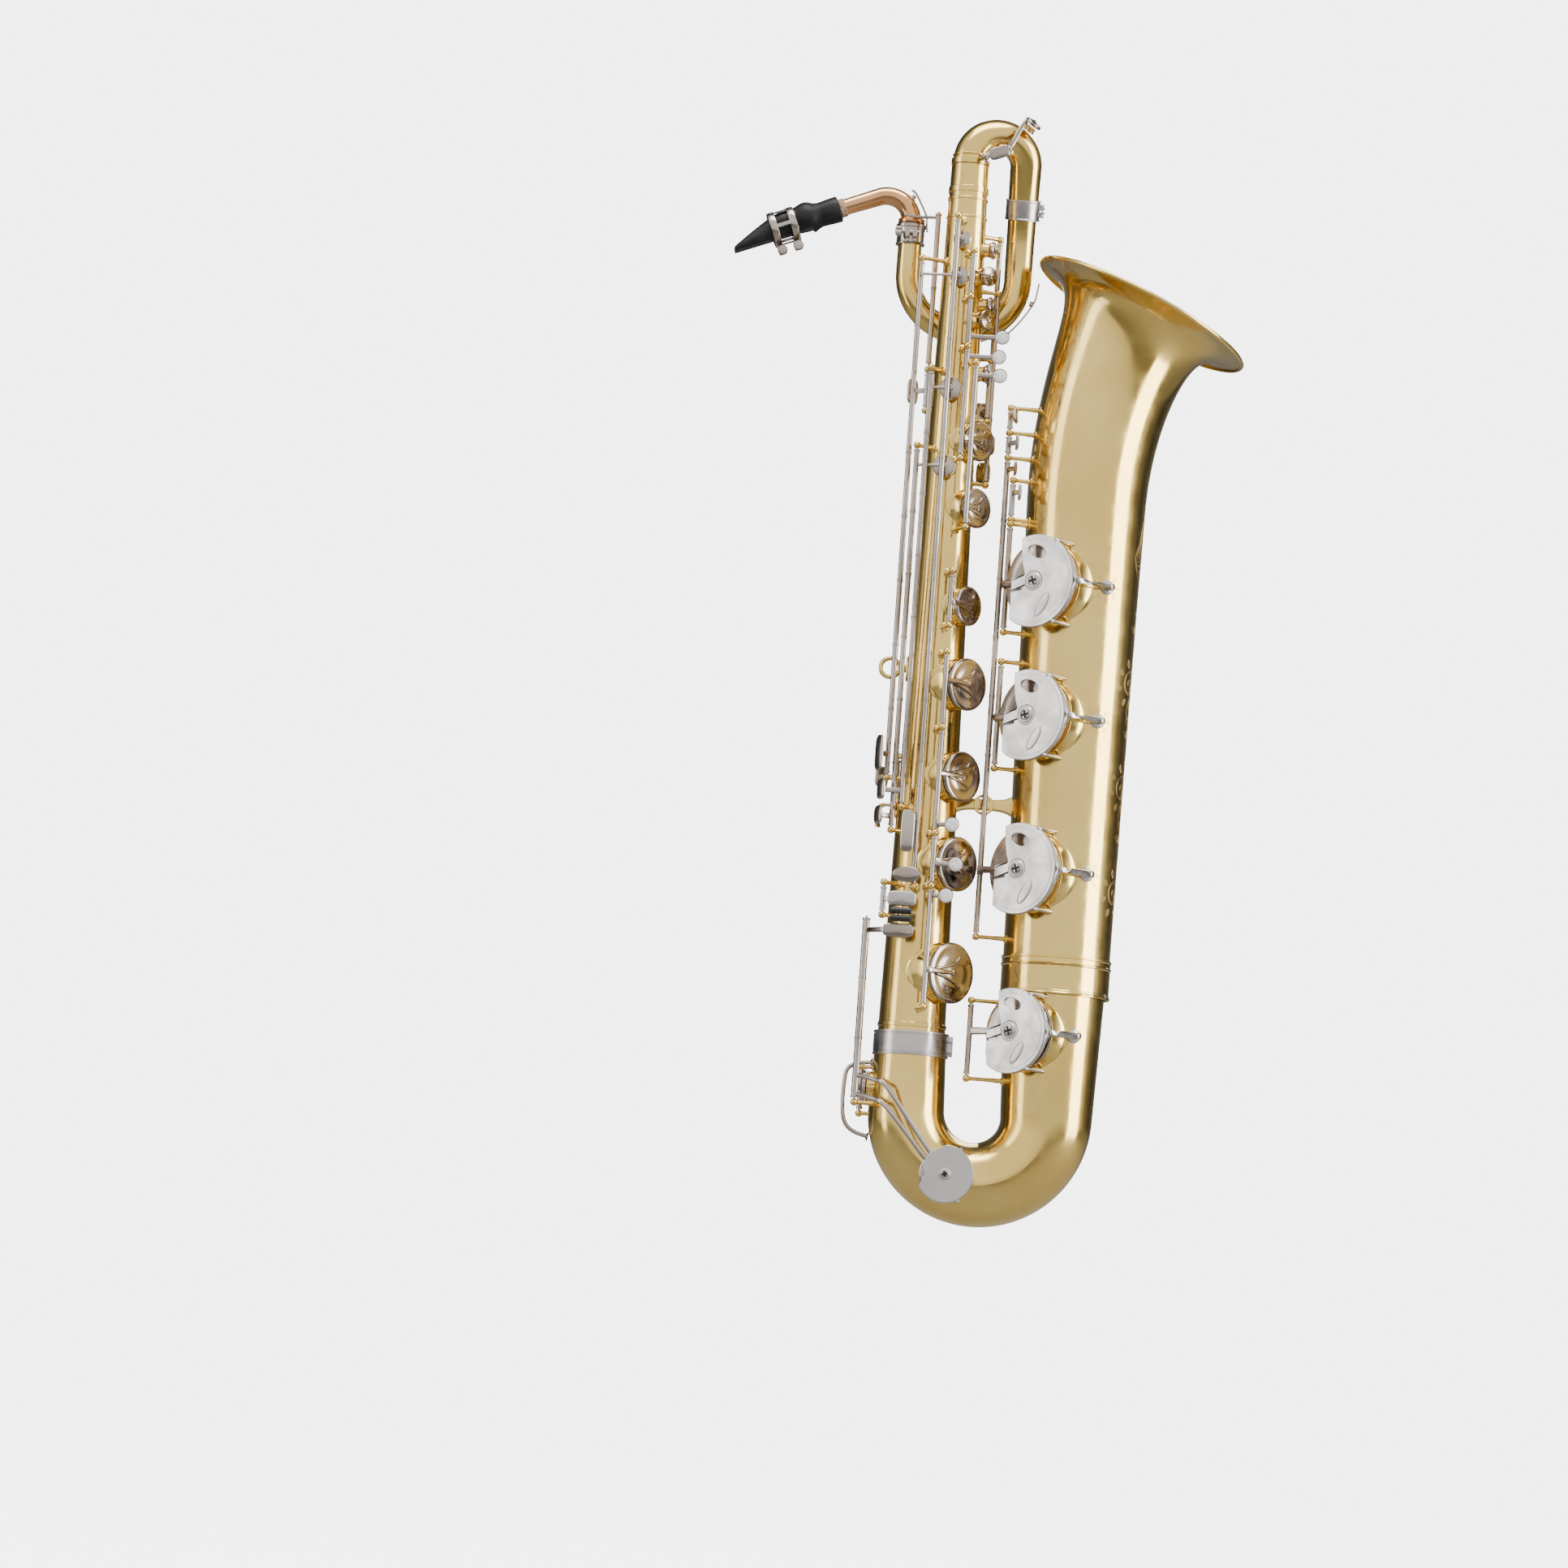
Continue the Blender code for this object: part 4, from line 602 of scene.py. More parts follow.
def make_bell():
    """Bell: flared skin, rolled rim and a rougher inside whose darker colour is painted shade, worked out
    along its leaning axis.
    """
    s = np.concatenate([np.linspace(0.3, 470, 60), BELL_LENGTH - np.geomspace(190, 0.35, 90), [BELL_LENGTH]])
    mid, axis = bell_axis(s)
    a = np.linspace(0, TAU, 160, endpoint=False)
    side = np.cross(Y, axis)
    rim = np.cos(a)[None, :, None] * Y + np.sin(a)[None, :, None] * side[:, None]
    slope = np.gradient(bell_r(s), s)
    lean = np.hypot(1, slope)

    def skin(depth):
        shift = (axis * (depth * slope / lean)[:, None])[:, None]
        return mid[:, None] + shift + (bell_r(s) - depth / lean)[:, None, None] * rim

    b = np.linspace(-1.9, 2.6, 14)
    bead = mid[-1] + axis[-1] * 0.7 + (RIM_R + 0.1 + BEAD_R * np.cos(b))[:, None, None] * rim[-1]
    bead = bead + (BEAD_R * np.sin(b))[:, None, None] * axis[-1]
    outer = Shell().grid(np.concatenate([skin(0.0), bead, skin(0.45)[::-1], skin(0.0)[:1]]))
    for tube, z, r, phi, rest, foot, head in CUP_KEYS.values():
        if tube == "bell":
            chimney_rim(outer, TUBES[tube][0](z), facing(phi), TUBES[tube][1](z), r, 72)
    posts_on(outer, "bell")
    outer.piece("bell_fine", LACQUER, "root", "lacquer", ["bell"])
    # inner skin in the darker lacquer: painted shade inside the bell
    inner = Shell().grid(np.concatenate([skin(0.5)[:-1], skin(WALL)[:-1][::-1], skin(0.5)[:1]]))
    inner.piece("bell_lining", LACQUER_SHADED_INSIDE, "root", "lacquer")


def on_bell(across, z):
    """Points on the bell's skin: across is the run round it in mm from facing 80 degrees."""
    across, z = np.broadcast_arrays(np.asarray(across, float), np.asarray(z, float))
    r = bell_r(z - BOW_LEG)
    phi = math.radians(80.0) + across / r
    return np.stack([BELL_X + r * np.sin(phi), -r * np.cos(phi), z], -1)


def scratch(shell, across, z, width=0.9):
    """One engraved stroke, thick in the middle and fine at its ends, drawn as a thin raised strip whose
    darker brass is painted shade of a cut line.
    """
    path = on_bell(across, z)
    out = unit(path - np.array([BELL_X, 0, 0]) - path * [0, 0, 1])
    swell = width * (0.25 + 0.75 * np.sin(np.linspace(0, math.pi, len(path))))
    shell.grid(strap(path + out * 0.02, swell, 0.22, out, 6, 1.0), cap_start=True, cap_end=True)


def make_engraving():
    """Leaf scrolls up the front of the bell and small stars by the guard feet, in darker brass that paints
    the shade of cut lines.
    """
    shell = Shell()
    t = np.linspace(0, 1, 26)
    for k in range(6):
        hand = 1 if k % 2 else -1
        z0 = 150.0 + 50.0 * k
        turn = t * 1.55 * TAU
        r = 15.0 * (1 - 0.82 * t)
        scratch(shell, hand * (9 - r * np.cos(turn)), z0 + r * np.sin(turn), 1.2)
        scratch(shell, hand * (9 - (r - 1.6) * np.cos(turn)), z0 + (r - 1.6) * np.sin(turn), 0.5)
        for leaf in np.linspace(0.2, TAU * 0.8, 7):
            c, s = math.cos(leaf), math.sin(leaf)
            for bow in (-2.2, 0.0, 2.2):
                reach = 15.5 + 9.0 * t[::3]
                bulge = bow * np.sin(math.pi * t[::3])
                scratch(shell, hand * (9 - reach * c - bulge * s), z0 + reach * s - bulge * c, 0.8)
        if k < 5:
            scratch(shell, hand * (-6 + 18 * t - 12 * np.sin(math.pi * t)), z0 + 12 + 40 * t, 1.0)
    for k in range(9):
        for side in (-1, 1):
            scratch(shell, side * (4 + 16 * t[::3]), 452 + 7 * k * (1 - t[::3]) + 20 * t[::3] ** 2, 0.7)
    for note in ("key_low_a", "key_low_bflat", "key_low_b"):
        z0 = CUP_KEYS[note][1]
        across = math.radians(GUARD_FOOT - 80.0) * bell_r(z0 - BOW_LEG)
        for petal in np.linspace(0, TAU, 9)[:-1]:
            reach = 8.0 + 7.0 * t[::3]
            for bow in (-1.3, 1.3):
                bulge = bow * np.sin(math.pi * t[::3])
                scratch(shell, across + reach * math.cos(petal) - bulge * math.sin(petal),
                        z0 + reach * math.sin(petal) + bulge * math.cos(petal), 0.6)
    shell.piece("bell_engraving", ENGRAVING_GROOVE_SHADE, "root", "lacquer")


def make_bands():
    """Body clamp and bell ferrule."""
    shell = Shell()
    inner = BOW_FOOT_R + 0.6
    lines = [(-11.5, 0.5), (-11.3, 1.6), (-9.6, 1.7), (-9.3, 0.9), (-8.4, 0.9), (-8.1, 1.4),
             (8.1, 1.4), (8.4, 0.9), (9.3, 0.9), (9.6, 1.7), (11.3, 1.6), (11.5, 0.5)]
    band(shell, [0, 0, -3.0], Z, inner, lines)
    for z in (-8.0, 2.0):
        lathe(shell, [inner + 3.0, -7.5, z], Y, [(0, 1.6), (0.4, 2.5), (2.6, 2.5), (3.0, 1.2), (14, 1.2)], 20)
    for y in (-4.4, -0.2):
        block = np.array([[inner - 0.5, y, -3.0], [inner + 5.5, y, -3.0]])
        shell.grid(strap(block, 19.0, 3.2, Y, 24, 0.25), cap_start=True, cap_end=True)
    shell.piece("body_clamp_fine", GUARD_NICKEL, "root", "nickel", ["body_clamp"])

    shell = Shell()
    inner = float(bell_r(0.0)) + 0.8
    lines = [(-18.5, 0.4), (-18.2, 1.3), (-16.8, 1.5), (-15.8, 0.8), (-14.6, 0.8), (-14.0, 0.35), (8.6, 0.35),
             (9.4, 1.2), (10.8, 1.4), (11.6, 0.5), (15.6, 0.5), (16.4, 1.3), (18.0, 1.3), (18.5, 0.4)]
    band(shell, [BELL_X, 0, BOW_LEG + 18.0], Z, inner, lines, 128)
    shell.piece("bell_ferrule_fine", LACQUER, "root", "lacquer", ["bell_ferrule"])


def loop_axis():
    """Axis of the top bow and of the loop below it, as one easing path in two parts."""
    r, top = TOP_BOW_R, BODY_LENGTH + 6.0
    a = np.linspace(math.pi, 0, 40)
    bend = np.stack([r + r * np.cos(a), a * 0, top + r * np.sin(a)], -1)
    down = np.linspace(top, top - CLAMP_DROP, 12)[1:]
    first = np.concatenate([[[0, 0, BODY_LENGTH + 0.3]], bend,
                            np.stack([down * 0 + 2 * r, down * 0, down], -1)])
    low = top - LOOP_DROP
    down = np.linspace(top - CLAMP_DROP - 0.6, low, 16)
    a = np.linspace(0, -math.pi, 60)[1:]
    turn = np.stack([2 * r - LOOP_BEND_R + LOOP_BEND_R * np.cos(a), a * 0, low + LOOP_BEND_R * np.sin(a)], -1)
    rise = np.linspace(low, low + LOOP_RISE, 8)[1:]
    left = np.stack([rise * 0 + 2 * r - 2 * LOOP_BEND_R, rise * 0, rise], -1)
    second = np.concatenate([np.stack([down * 0 + 2 * r, down * 0, down], -1), turn, left])
    both = np.concatenate([first, second])
    run = np.concatenate([[0], np.cumsum(np.linalg.norm(np.diff(both, axis=0), axis=1))])
    t = np.clip(run / (LOOP_DROP + math.pi * r), 0, 1)
    both[:, 1] = LOOP_BACK * t * t * (3 - 2 * t)
    return both[:len(first)], both[len(first):]


def make_loop():
    """Top bow with its rings, the loop, its clamp and the vent on the bow's shoulder."""
    first, second = loop_axis()
    shell = hollow(Shell(), first, TOP_TUBE_R + (TOP_END_R - TOP_TUBE_R) * run_of(first), WALL, 64)
    band(shell, first[1] - Z * 2.0, Z, TOP_TUBE_R - 0.4, rolled(3.2, 2.0), 72)
    band(shell, first[1] + Z * 4.4, Z, TOP_TUBE_R - 0.4, rolled(1.0, 1.0), 72)
    shell.piece("top_bow_fine", LACQUER, "root", "lacquer", ["top_bow"])
    shell = hollow(Shell(), second, LOOP_R + (LOOP_END_R - LOOP_R) * run_of(second), WALL, 64)
    shell.piece("loop_fine", LACQUER, "root", "lacquer", ["loop_tube"])

    shell = Shell()
    spot, axis = (first[-1] + second[0]) / 2, unit(second[0] - first[-1])
    inner = TOP_END_R + 1.0
    lines = [(-10, 0.4), (-9.7, 1.4), (-8.4, 1.5), (-7.8, 0.9), (7.8, 0.9), (8.4, 1.5), (9.7, 1.4), (10, 0.4)]
    band(shell, spot, axis, inner, lines, 64)
    lug = spot + np.array([inner + 3.0, 0, 0])
    lathe(shell, lug - Z * 6.5, Z, [(0, 1.4), (0.4, 2.3), (3.0, 2.3), (3.4, 1.2), (9.6, 1.2), (10.0, 2.3),
                                    (12.6, 2.3), (13.0, 1.4)], 18)
    for z in (-2.3, 2.3):
        tab = np.array([spot + [inner, 0, z], spot + [inner + 5.2, 0, z]])
        shell.grid(strap(tab, 6.0, 1.8, Z, 16, 0.4), cap_start=True, cap_end=True)
    shell.piece("loop_clamp_fine", GUARD_NICKEL, "root", "nickel", ["loop_clamp"])

    # vent on the shoulder of the bow: chimney, cup, the arm from its rod, a blade and the rod's posts
    lean = math.radians(38.0)
    out = np.array([math.sin(lean), -0.35, math.cos(lean)]) / math.sqrt(1.1225)
    heart = np.array([TOP_BOW_R, 0, BODY_LENGTH + 6.0]) + TOP_BOW_R * np.array([math.sin(lean), 0,
                                                                                math.cos(lean)])
    seat = heart + out * (TOP_TUBE_R + 3.0)
    neck = lathe(Shell(), heart + out * (TOP_TUBE_R - 2.0), out, [(0, 6.6), (2.6, 6.0), (4.2, 6.0),
                                                                  (4.8, 6.8), (5.0, 6.0)], 32)
    neck.piece("bow_vent_chimney", LACQUER, "root", "lacquer")
    shell = Shell().grid(cup(seat + out * 1.5, out, 8.6), cap_start=True, cap_end=True)
    rod = np.array([TOP_BOW_R - 14.0, -TOP_TUBE_R - 6.0, BODY_LENGTH + 6.0])
    bar = np.array([rod, rod + [22.0, 0.0, 9.0]])
    shell.grid(pipe(bar, 2.4, 16), cap_start=True, cap_end=True)
    arm = curve_through([rod + [14, 0, 6], rod + [24, -1, 13], seat + out * 8.0 - [10, 2, 2],
                         seat + out * 6.6], 8)
    shell.grid(strap(arm, 5.0, 2.0, out, 14, 0.6), cap_start=True, cap_end=True)
    blade = rod + [13.0, -2.6, 4.5]
    slab(shell, blade, [0.92, 0, 0.38], [-0.38, 0, 0.92], 20.0, 12.0, 2.4, 0.5, 0.6)
    for end in bar:
        post(shell, end * [1, 0, 1], end, TOP_TUBE_R - 5.0)
    shell.piece("bow_vent_metal", NICKEL, "root", "nickel")


def slab(shell, center, right, up, width, height, thick, corner=0.4, dome=0.0):
    """Rounded plate: superellipse outline, rounded edge, and a face that domes out towards right x up."""
    right, up = unit(right), unit(up)
    out = np.cross(right, up)
    a = np.linspace(0, TAU, 40, endpoint=False)
    x = np.sign(np.cos(a)) * np.abs(np.cos(a)) ** corner * width / 2
    y = np.sign(np.sin(a)) * np.abs(np.sin(a)) ** corner * height / 2
    e = min(thick * 0.35, 0.8)
    k = 1 - 2 * e / min(width, height)
    rows = [(0.0, -thick / 2), (0.5, -thick / 2), (k, -thick / 2), (1.0, -thick / 2 + e), (1.0,
                                                                                           thick / 2 - e),
            ((1 + k) / 2, thick / 2 - e * 0.3), (k, thick / 2), (0.75, thick / 2 + dome * 0.45),
            (0.4, thick / 2 + dome * 0.85), (0.0, thick / 2 + dome)]
    ring = x[:, None] * right + y[:, None] * up
    center = np.asarray(center, float)
    return shell.grid(np.stack([center + f * ring + h * out for f, h in rows]))


def swing(points, pivot, degrees):
    """Turns points about the upright line through pivot."""
    a = math.radians(degrees)
    turn = np.array([[math.cos(a), -math.sin(a), 0], [math.sin(a), math.cos(a), 0], [0, 0, 1]])
    pivot = np.array([pivot[0], pivot[1], 0.0])
    return (points - pivot) @ turn.T + pivot


def barrel(shell, line, foot, head, radius=ROD_R):
    """Hinge tube: plain between turned collars, with a pivot pin at each end."""
    rows = [(0.0, radius * 0.5), (0.1, radius + 0.45), (2.2, radius + 0.45), (2.5, radius)]
    length = head - foot
    joints = np.linspace(0, length, max(int(length / 55), 1) + 1)[1:-1]
    for z in joints:
        rows += [(z - 1.6, radius), (z - 1.4, radius + 0.4), (z - 0.15, radius + 0.4), (z, radius - 0.3),
                 (z + 0.15, radius + 0.4), (z + 1.4, radius + 0.4), (z + 1.6, radius)]
    rows += [(length - 2.5, radius), (length - 2.2, radius + 0.45), (length - 0.1, radius + 0.45),
             (length, radius * 0.5)]
    lathe(shell, [line[0], line[1], foot], Z, rows, 20)
    for z, way in ((foot, -1.0), (head, 1.0)):
        lathe(shell, [line[0], line[1], z], Z * way, [(-1.0, 1.1), (1.6, 1.1), (1.9, 0.7)], 12)


def cup(center, out, r):
    """Rows of a domed key cup: pad skirt, rolled rim, raised ring and a low crown."""
    big = r > 15
    rows = [(0.9, r - 1.2), (0.5, r - 0.5), (0.7, r - 0.05), (1.4, r), (2.8, r - 0.1), (3.5, r - 0.7),
            (3.9, r * 0.93), (4.1, r * 0.86)]
    if big:
        rows += [(3.9, r * 0.80), (3.95, r * 0.60), (4.3, r * 0.54), (4.5, r * 0.48), (4.4, r * 0.3)]
    rows += [(4.7, r * 0.22), (5.0, r * 0.1), (5.05, 0.01)]
    return turned(center, out, rows, 72 if big else 36)


def cup_place(name):
    """Seat (tube radius, chimney and pad gap out from the axis), outward direction and rest turn of a cup."""
    tube, z, r, phi, rest, foot, head = CUP_KEYS[name]
    out = facing(phi)
    pivot = np.array([*hinge_line(name)[:2], z])
    seat = TUBES[tube][0](z) + out * (TUBES[tube][1](z) + CHIMNEY_H + SEAT)
    sign = 1.0 if np.dot(np.cross(Z, seat - pivot), out) > 0 else -1.0
    return seat, out, pivot, rest * sign


def arm_to_cup(pivot, seat, out, r):
    """Arm from the rod to the middle of the cup: it rises off the rod, bends over and runs flat."""
    top = seat + out * (CUP_T + 0.2)
    rise = np.dot(top - pivot, out)
    level = pivot + out * rise
    flat = top - level
    if abs(rise) < 3.0:
        points = [pivot, pivot + 0.35 * flat + out * rise, top]
    else:
        points = [pivot, pivot + out * rise * 0.55, level - out * rise * 0.08 + flat * 0.05,
                  level + flat * 0.22, top]
    return curve_through(points, 7)


def make_key(name):
    """One key: barrel, arm, cup, pad and its touch."""
    tube, z, r, phi, rest, foot, head = CUP_KEYS[name]
    seat, out, pivot, turn = cup_place(name)
    big = r > 15
    metal = Shell()
    barrel(metal, pivot, foot, head)
    metal.grid(swing(cup(seat, out, r), pivot, turn), cap_start=True, cap_end=True)
    width = 7.5 if r > 30 else 6.0 if big else 3.2
    arm = arm_to_cup(pivot, seat, out, r)
    shares = run_of(arm)
    body = strap(arm, width * (1 - 0.35 * shares), 2.8 if big else 1.4, out, 16, 0.6)
    metal.grid(swing(body, pivot, turn), cap_start=True, cap_end=True)
    if big:
        side = np.cross(Z, out)
        brace = unit(seat - pivot)
        for way in (-1, 1):
            spread = curve_through([arm[-10], seat + out * 5.3 + way * Z * r * 0.28, seat + out * 4.3
                                    + way * Z * r * 0.52 + side * np.dot(brace, side) * r * 0.3], 6)
            metal.grid(swing(strap(spread, [2.8] * len(spread), 1.6, out, 10, 0.7), pivot, turn),
                       cap_start=True, cap_end=True)
    hub = turned(seat + out * (CUP_T - 0.4), out, [(0, 3.2), (1.4, 3.1), (1.9, 2.2), (2.0, 0.01)], 24)
    metal.grid(swing(hub, pivot, turn), cap_start=True, cap_end=True)
    if name in PEARLS:
        at, place = PEARLS[name]
        middle = np.array([*place, at])
        lathe(metal, middle, -Y, [(-1.5, 4.5), (-1.4, 5.8), (-0.4, 6.8), (1.0, 7.1), (1.35, 6.9),
                                  (1.2, 6.3), (0.6, 6.2)], 40)
        start = np.array([pivot[0], pivot[1], at])
        path = curve_through([start, start * 0.5 + middle * 0.5 + Y * 2.5, middle + Y * 1.4], 7)
        metal.grid(strap(path, 4.6, 2.4, Y, 14, 0.6), cap_start=True, cap_end=True)
        disc = lathe(Shell(), middle, -Y, [(0.5, 6.15), (1.1, 6.1), (1.5, 5.6), (1.8, 4.0), (1.95, 2.0),
                                           (2.0, 0.01)], 40)
        disc.piece(name + "_pearl", PEARL, name, "nickel")
    if name in PADDLES:
        paddle(metal, pivot, *PADDLES[name])
    if name == "key_high_fsharp":
        paddle(metal, pivot, 153.0, (-16.0, -52.0), -12.0, 27.0, 15.0, 1.0)
    whole = [name] + [node for node in frame["nodes"] if node == name + "_rod"]
    metal.piece(name + "_metal", NICKEL, name, "nickel", whole)
    pad = turned(seat, out, [(0.7, r * 0.2), (0.05, r * 0.4), (0.0, r - 3.0), (0.15, r - 1.6), (0.6, r - 0.9),
                             (1.2, r - 0.9), (1.2, 0.5)], 48 if big else 24)
    skin = Shell().grid(swing(pad, pivot, turn), cap_start=True, cap_end=True)
    skin.piece(name + "_pad", LEATHER, name, "nickel")


def paddle(shell, pivot, z, place, phi, width, height, corner=0.5):
    """Plate touch with a domed face and the arm that carries it."""
    out = facing(phi)
    middle = np.array([*place, z])
    slab(shell, middle, np.cross(Z, out), Z, width, height, 2.4, corner, 0.8)
    start = np.array([pivot[0], pivot[1], z])
    path = curve_through([start, start * 0.45 + middle * 0.55 - out * 2.5, middle - out * 0.8], 7)
    shell.grid(strap(path, 5.0, 2.2, out, 14, 0.6), cap_start=True, cap_end=True)


def make_touches():
    """Touches on rods of their own."""
    for name, (tube, foot, head, plate_at) in DRIVERS.items():
        line = hinge_line(name)
        metal = Shell()
        barrel(metal, line, foot, head)
        paddle(metal, line, *plate_at)
        metal.piece(name + "_metal", GUARD_NICKEL, name, "nickel", [name])


def make_guard(note):
    """Guard over a bell key: dished D plate with an oval window, boss, slots and forked foot."""
    tube, z, r, phi, rest, foot, head = CUP_KEYS["key_" + note]
    out, axis, tube_r = facing(phi), TUBES[tube][0](z), TUBES[tube][1](z)
    right = np.cross(Z, out)
    right = right if right[0] > 0 else -right
    big_r = r + GUARD_OVER
    level = tube_r + CHIMNEY_H + GUARD_RISE + 1.0
    mid = axis + out * level
    a = np.radians(np.linspace(112, -126, 64))
    edge = np.stack([big_r * np.cos(a), big_r * np.sin(a)], -1)
    left = -GUARD_FLAT + 0.5
    notch = np.array([[left, -0.5 * big_r], [left, -0.24 * big_r], [left + 12, -0.19 * big_r],
                      [left + 12, -0.15 * big_r], [left, -0.2 * big_r], [left, 0.06 * big_r],
                      [-0.24 * big_r, 0.14 * big_r], [-0.30 * big_r, 0.3 * big_r], [-0.36 * big_r,
                                                                                    0.6 * big_r]])
    b = np.linspace(0, TAU, 28, endpoint=False)
    lean = math.radians(-16)
    ox, oy = 0.24 * big_r * np.cos(b), 0.13 * big_r * np.sin(b)
    window = np.stack([0.04 * big_r + ox * math.cos(lean) - oy * math.sin(lean),
                       0.63 * big_r + ox * math.sin(lean) + oy * math.cos(lean)], -1)
    flat = plate(Shell(), [np.concatenate([edge, notch]), window], 2.0, 0.6, mid, right, Z)
    flat.piece("guard_" + note + "_plate", GUARD_NICKEL, "root", "nickel", ["guard_" + note], 8.0)
    shell = Shell()

    def at(x, y, h=0.0):
        x, y, h = np.broadcast_arrays(x, y, h)
        return mid + x[:, None] * right + y[:, None] * Z + h[:, None] * out

    a = np.radians(np.linspace(104, -122, 60))
    lip = at((big_r - 0.4) * np.cos(a), (big_r - 0.4) * np.sin(a), np.full(60, -1.9))
    shell.grid(strap(lip, 5.4, 1.4, lip - mid, 14, 0.6), cap_start=True, cap_end=True)
    ridge = at((big_r - 4.2) * np.cos(a), (big_r - 4.2) * np.sin(a), np.full(60, 0.9))
    shell.grid(strap(ridge, 1.0, 0.7, out, 8, 0.9), cap_start=True, cap_end=True)
    # embossed oval, boss and the raised arms to the rod side
    t = math.radians(-32)
    slab(shell, at([0.25 * big_r], [-0.52 * big_r], [0.9])[0], right * math.cos(t) + Z * math.sin(t),
         Z * math.cos(t) - right * math.sin(t), 0.24 * big_r, 0.6 * big_r, 1.0, 1.0, 0.3)
    lathe(shell, mid, out, [(0.6, 8.2), (1.6, 7.6), (2.2, 7.0), (2.4, 5.6), (1.9, 5.0)], 40)
    # black strips laid on the plate: painted shade standing in for its grooves and the ring round the boss
    painted_groove_shade = Shell()
    for x1, y0, y1 in ((-0.26, 0.02, 0.13), (-0.22, -0.2, -0.09)):
        line = at(np.linspace(left + 1.2, x1 * big_r, 8), np.linspace(y0, y1, 8) * big_r, 1.0)
        painted_groove_shade.grid(strap(line, np.linspace(1.0, 1.9, 8), 0.4, out, 10, 0.8), cap_start=True, cap_end=True)
    ring = at(9.3 * np.cos(np.linspace(0, TAU, 41)), 9.3 * np.sin(np.linspace(0, TAU, 41)), 1.0)
    painted_groove_shade.grid(strap(ring, 0.8, 0.4, out, 8, 0.8), cap_start=True, cap_end=True)
    painted_groove_shade.piece("guard_" + note + "_painted_groove_shade", RUBBER_AND_SLOT_SHADE, "root", "nickel")
    # legs to the tube and the forked foot
    for sign in (1.0, -1.0):
        turn = math.radians(60.0)
        x, y = (big_r + 0.5) * math.cos(turn), sign * (big_r + 0.5) * math.sin(turn)
        wall = TUBES[tube][1](z + y) + 0.2
        down = math.sqrt(wall ** 2 - (x - 1.8) ** 2) - level
        path = curve_through([at([x - 2], [y * 0.97], [0.2])[0], at([x], [y], [-2.0])[0],
                              at([x], [y], [down * 0.6])[0], at([x], [y], [down])[0]], 6)
        shell.grid(pipe(path, np.linspace(1.7, 2.2, len(path)), 14), cap_start=True, cap_end=True)
    land = facing(GUARD_FOOT)
    base = axis + land * (tube_r + 1.0)
    joint = at([big_r + 4.5], [-1.0], [-1.0])[0]
    for y in (0.44, -0.30):
        start = at([big_r * math.cos(y) - 1.0], [big_r * math.sin(y)], [-0.6])[0]
        path = curve_through([start, joint * 0.55 + start * 0.45 - Z * y * 3.0, joint], 8)
        shell.grid(strap(path, np.linspace(6.5, 4.0, len(path)), 2.0, out, 14, 0.6), cap_start=True,
                   cap_end=True)
    path = curve_through([joint - right * 2, joint + right * 4 - out * 3, base + land * 4.5], 7)
    shell.grid(strap(path, np.linspace(5.5, 6.5, len(path)), 2.6, out, 14, 0.6), cap_start=True, cap_end=True)
    lathe(shell, base - right * 2.5 + land * 4.2, unit(right), [(-5.5, 1.6), (-5.2, 3.0), (0, 3.2),
                                                                (0.3, 2.3), (1.6, 2.3),
                                                              (1.9, 3.2), (6.5, 3.2), (6.9, 1.8)], 28)
    lathe(shell, base - land * 1.0, land, [(0.0, 7.0), (0.9, 6.8), (1.6, 5.4), (2.2, 3.6), (4.5, 3.2)], 32)
    shell.piece("guard_" + note + "_legs", GUARD_NICKEL, "root", "nickel")
    make_cross_screw("guard_" + note + "_screw", mid + out * 1.9, out, right, 5.4)


def make_cross_screw(name, center, out, right, r):
    """Low domed screw head; its crossed slot is two black strips laid on top, painted shade of a slot."""
    head = lathe(Shell(), center, out, [(-0.6, r), (0.6, r), (1.0, r * 0.8), (1.2, r * 0.3),
                                        (1.25, 0.01)], 36)
    head.piece(name, NICKEL, "root", "nickel")
    # black strips on top of the head: painted shade of the crossed slot
    slot = Shell()
    up = np.cross(out, right)
    for way in (right + up * 0.25, up - right * 0.25):
        way = unit(way)
        path = center + np.linspace(-0.72, 0.72, 7)[:, None] * r * way + out * 1.25
        slot.grid(strap(path, 2.3, 0.6, out, 8, 0.8), cap_start=True, cap_end=True)
    slot.piece(name + "_slot_painted_shade", RUBBER_AND_SLOT_SHADE, "root", "nickel")


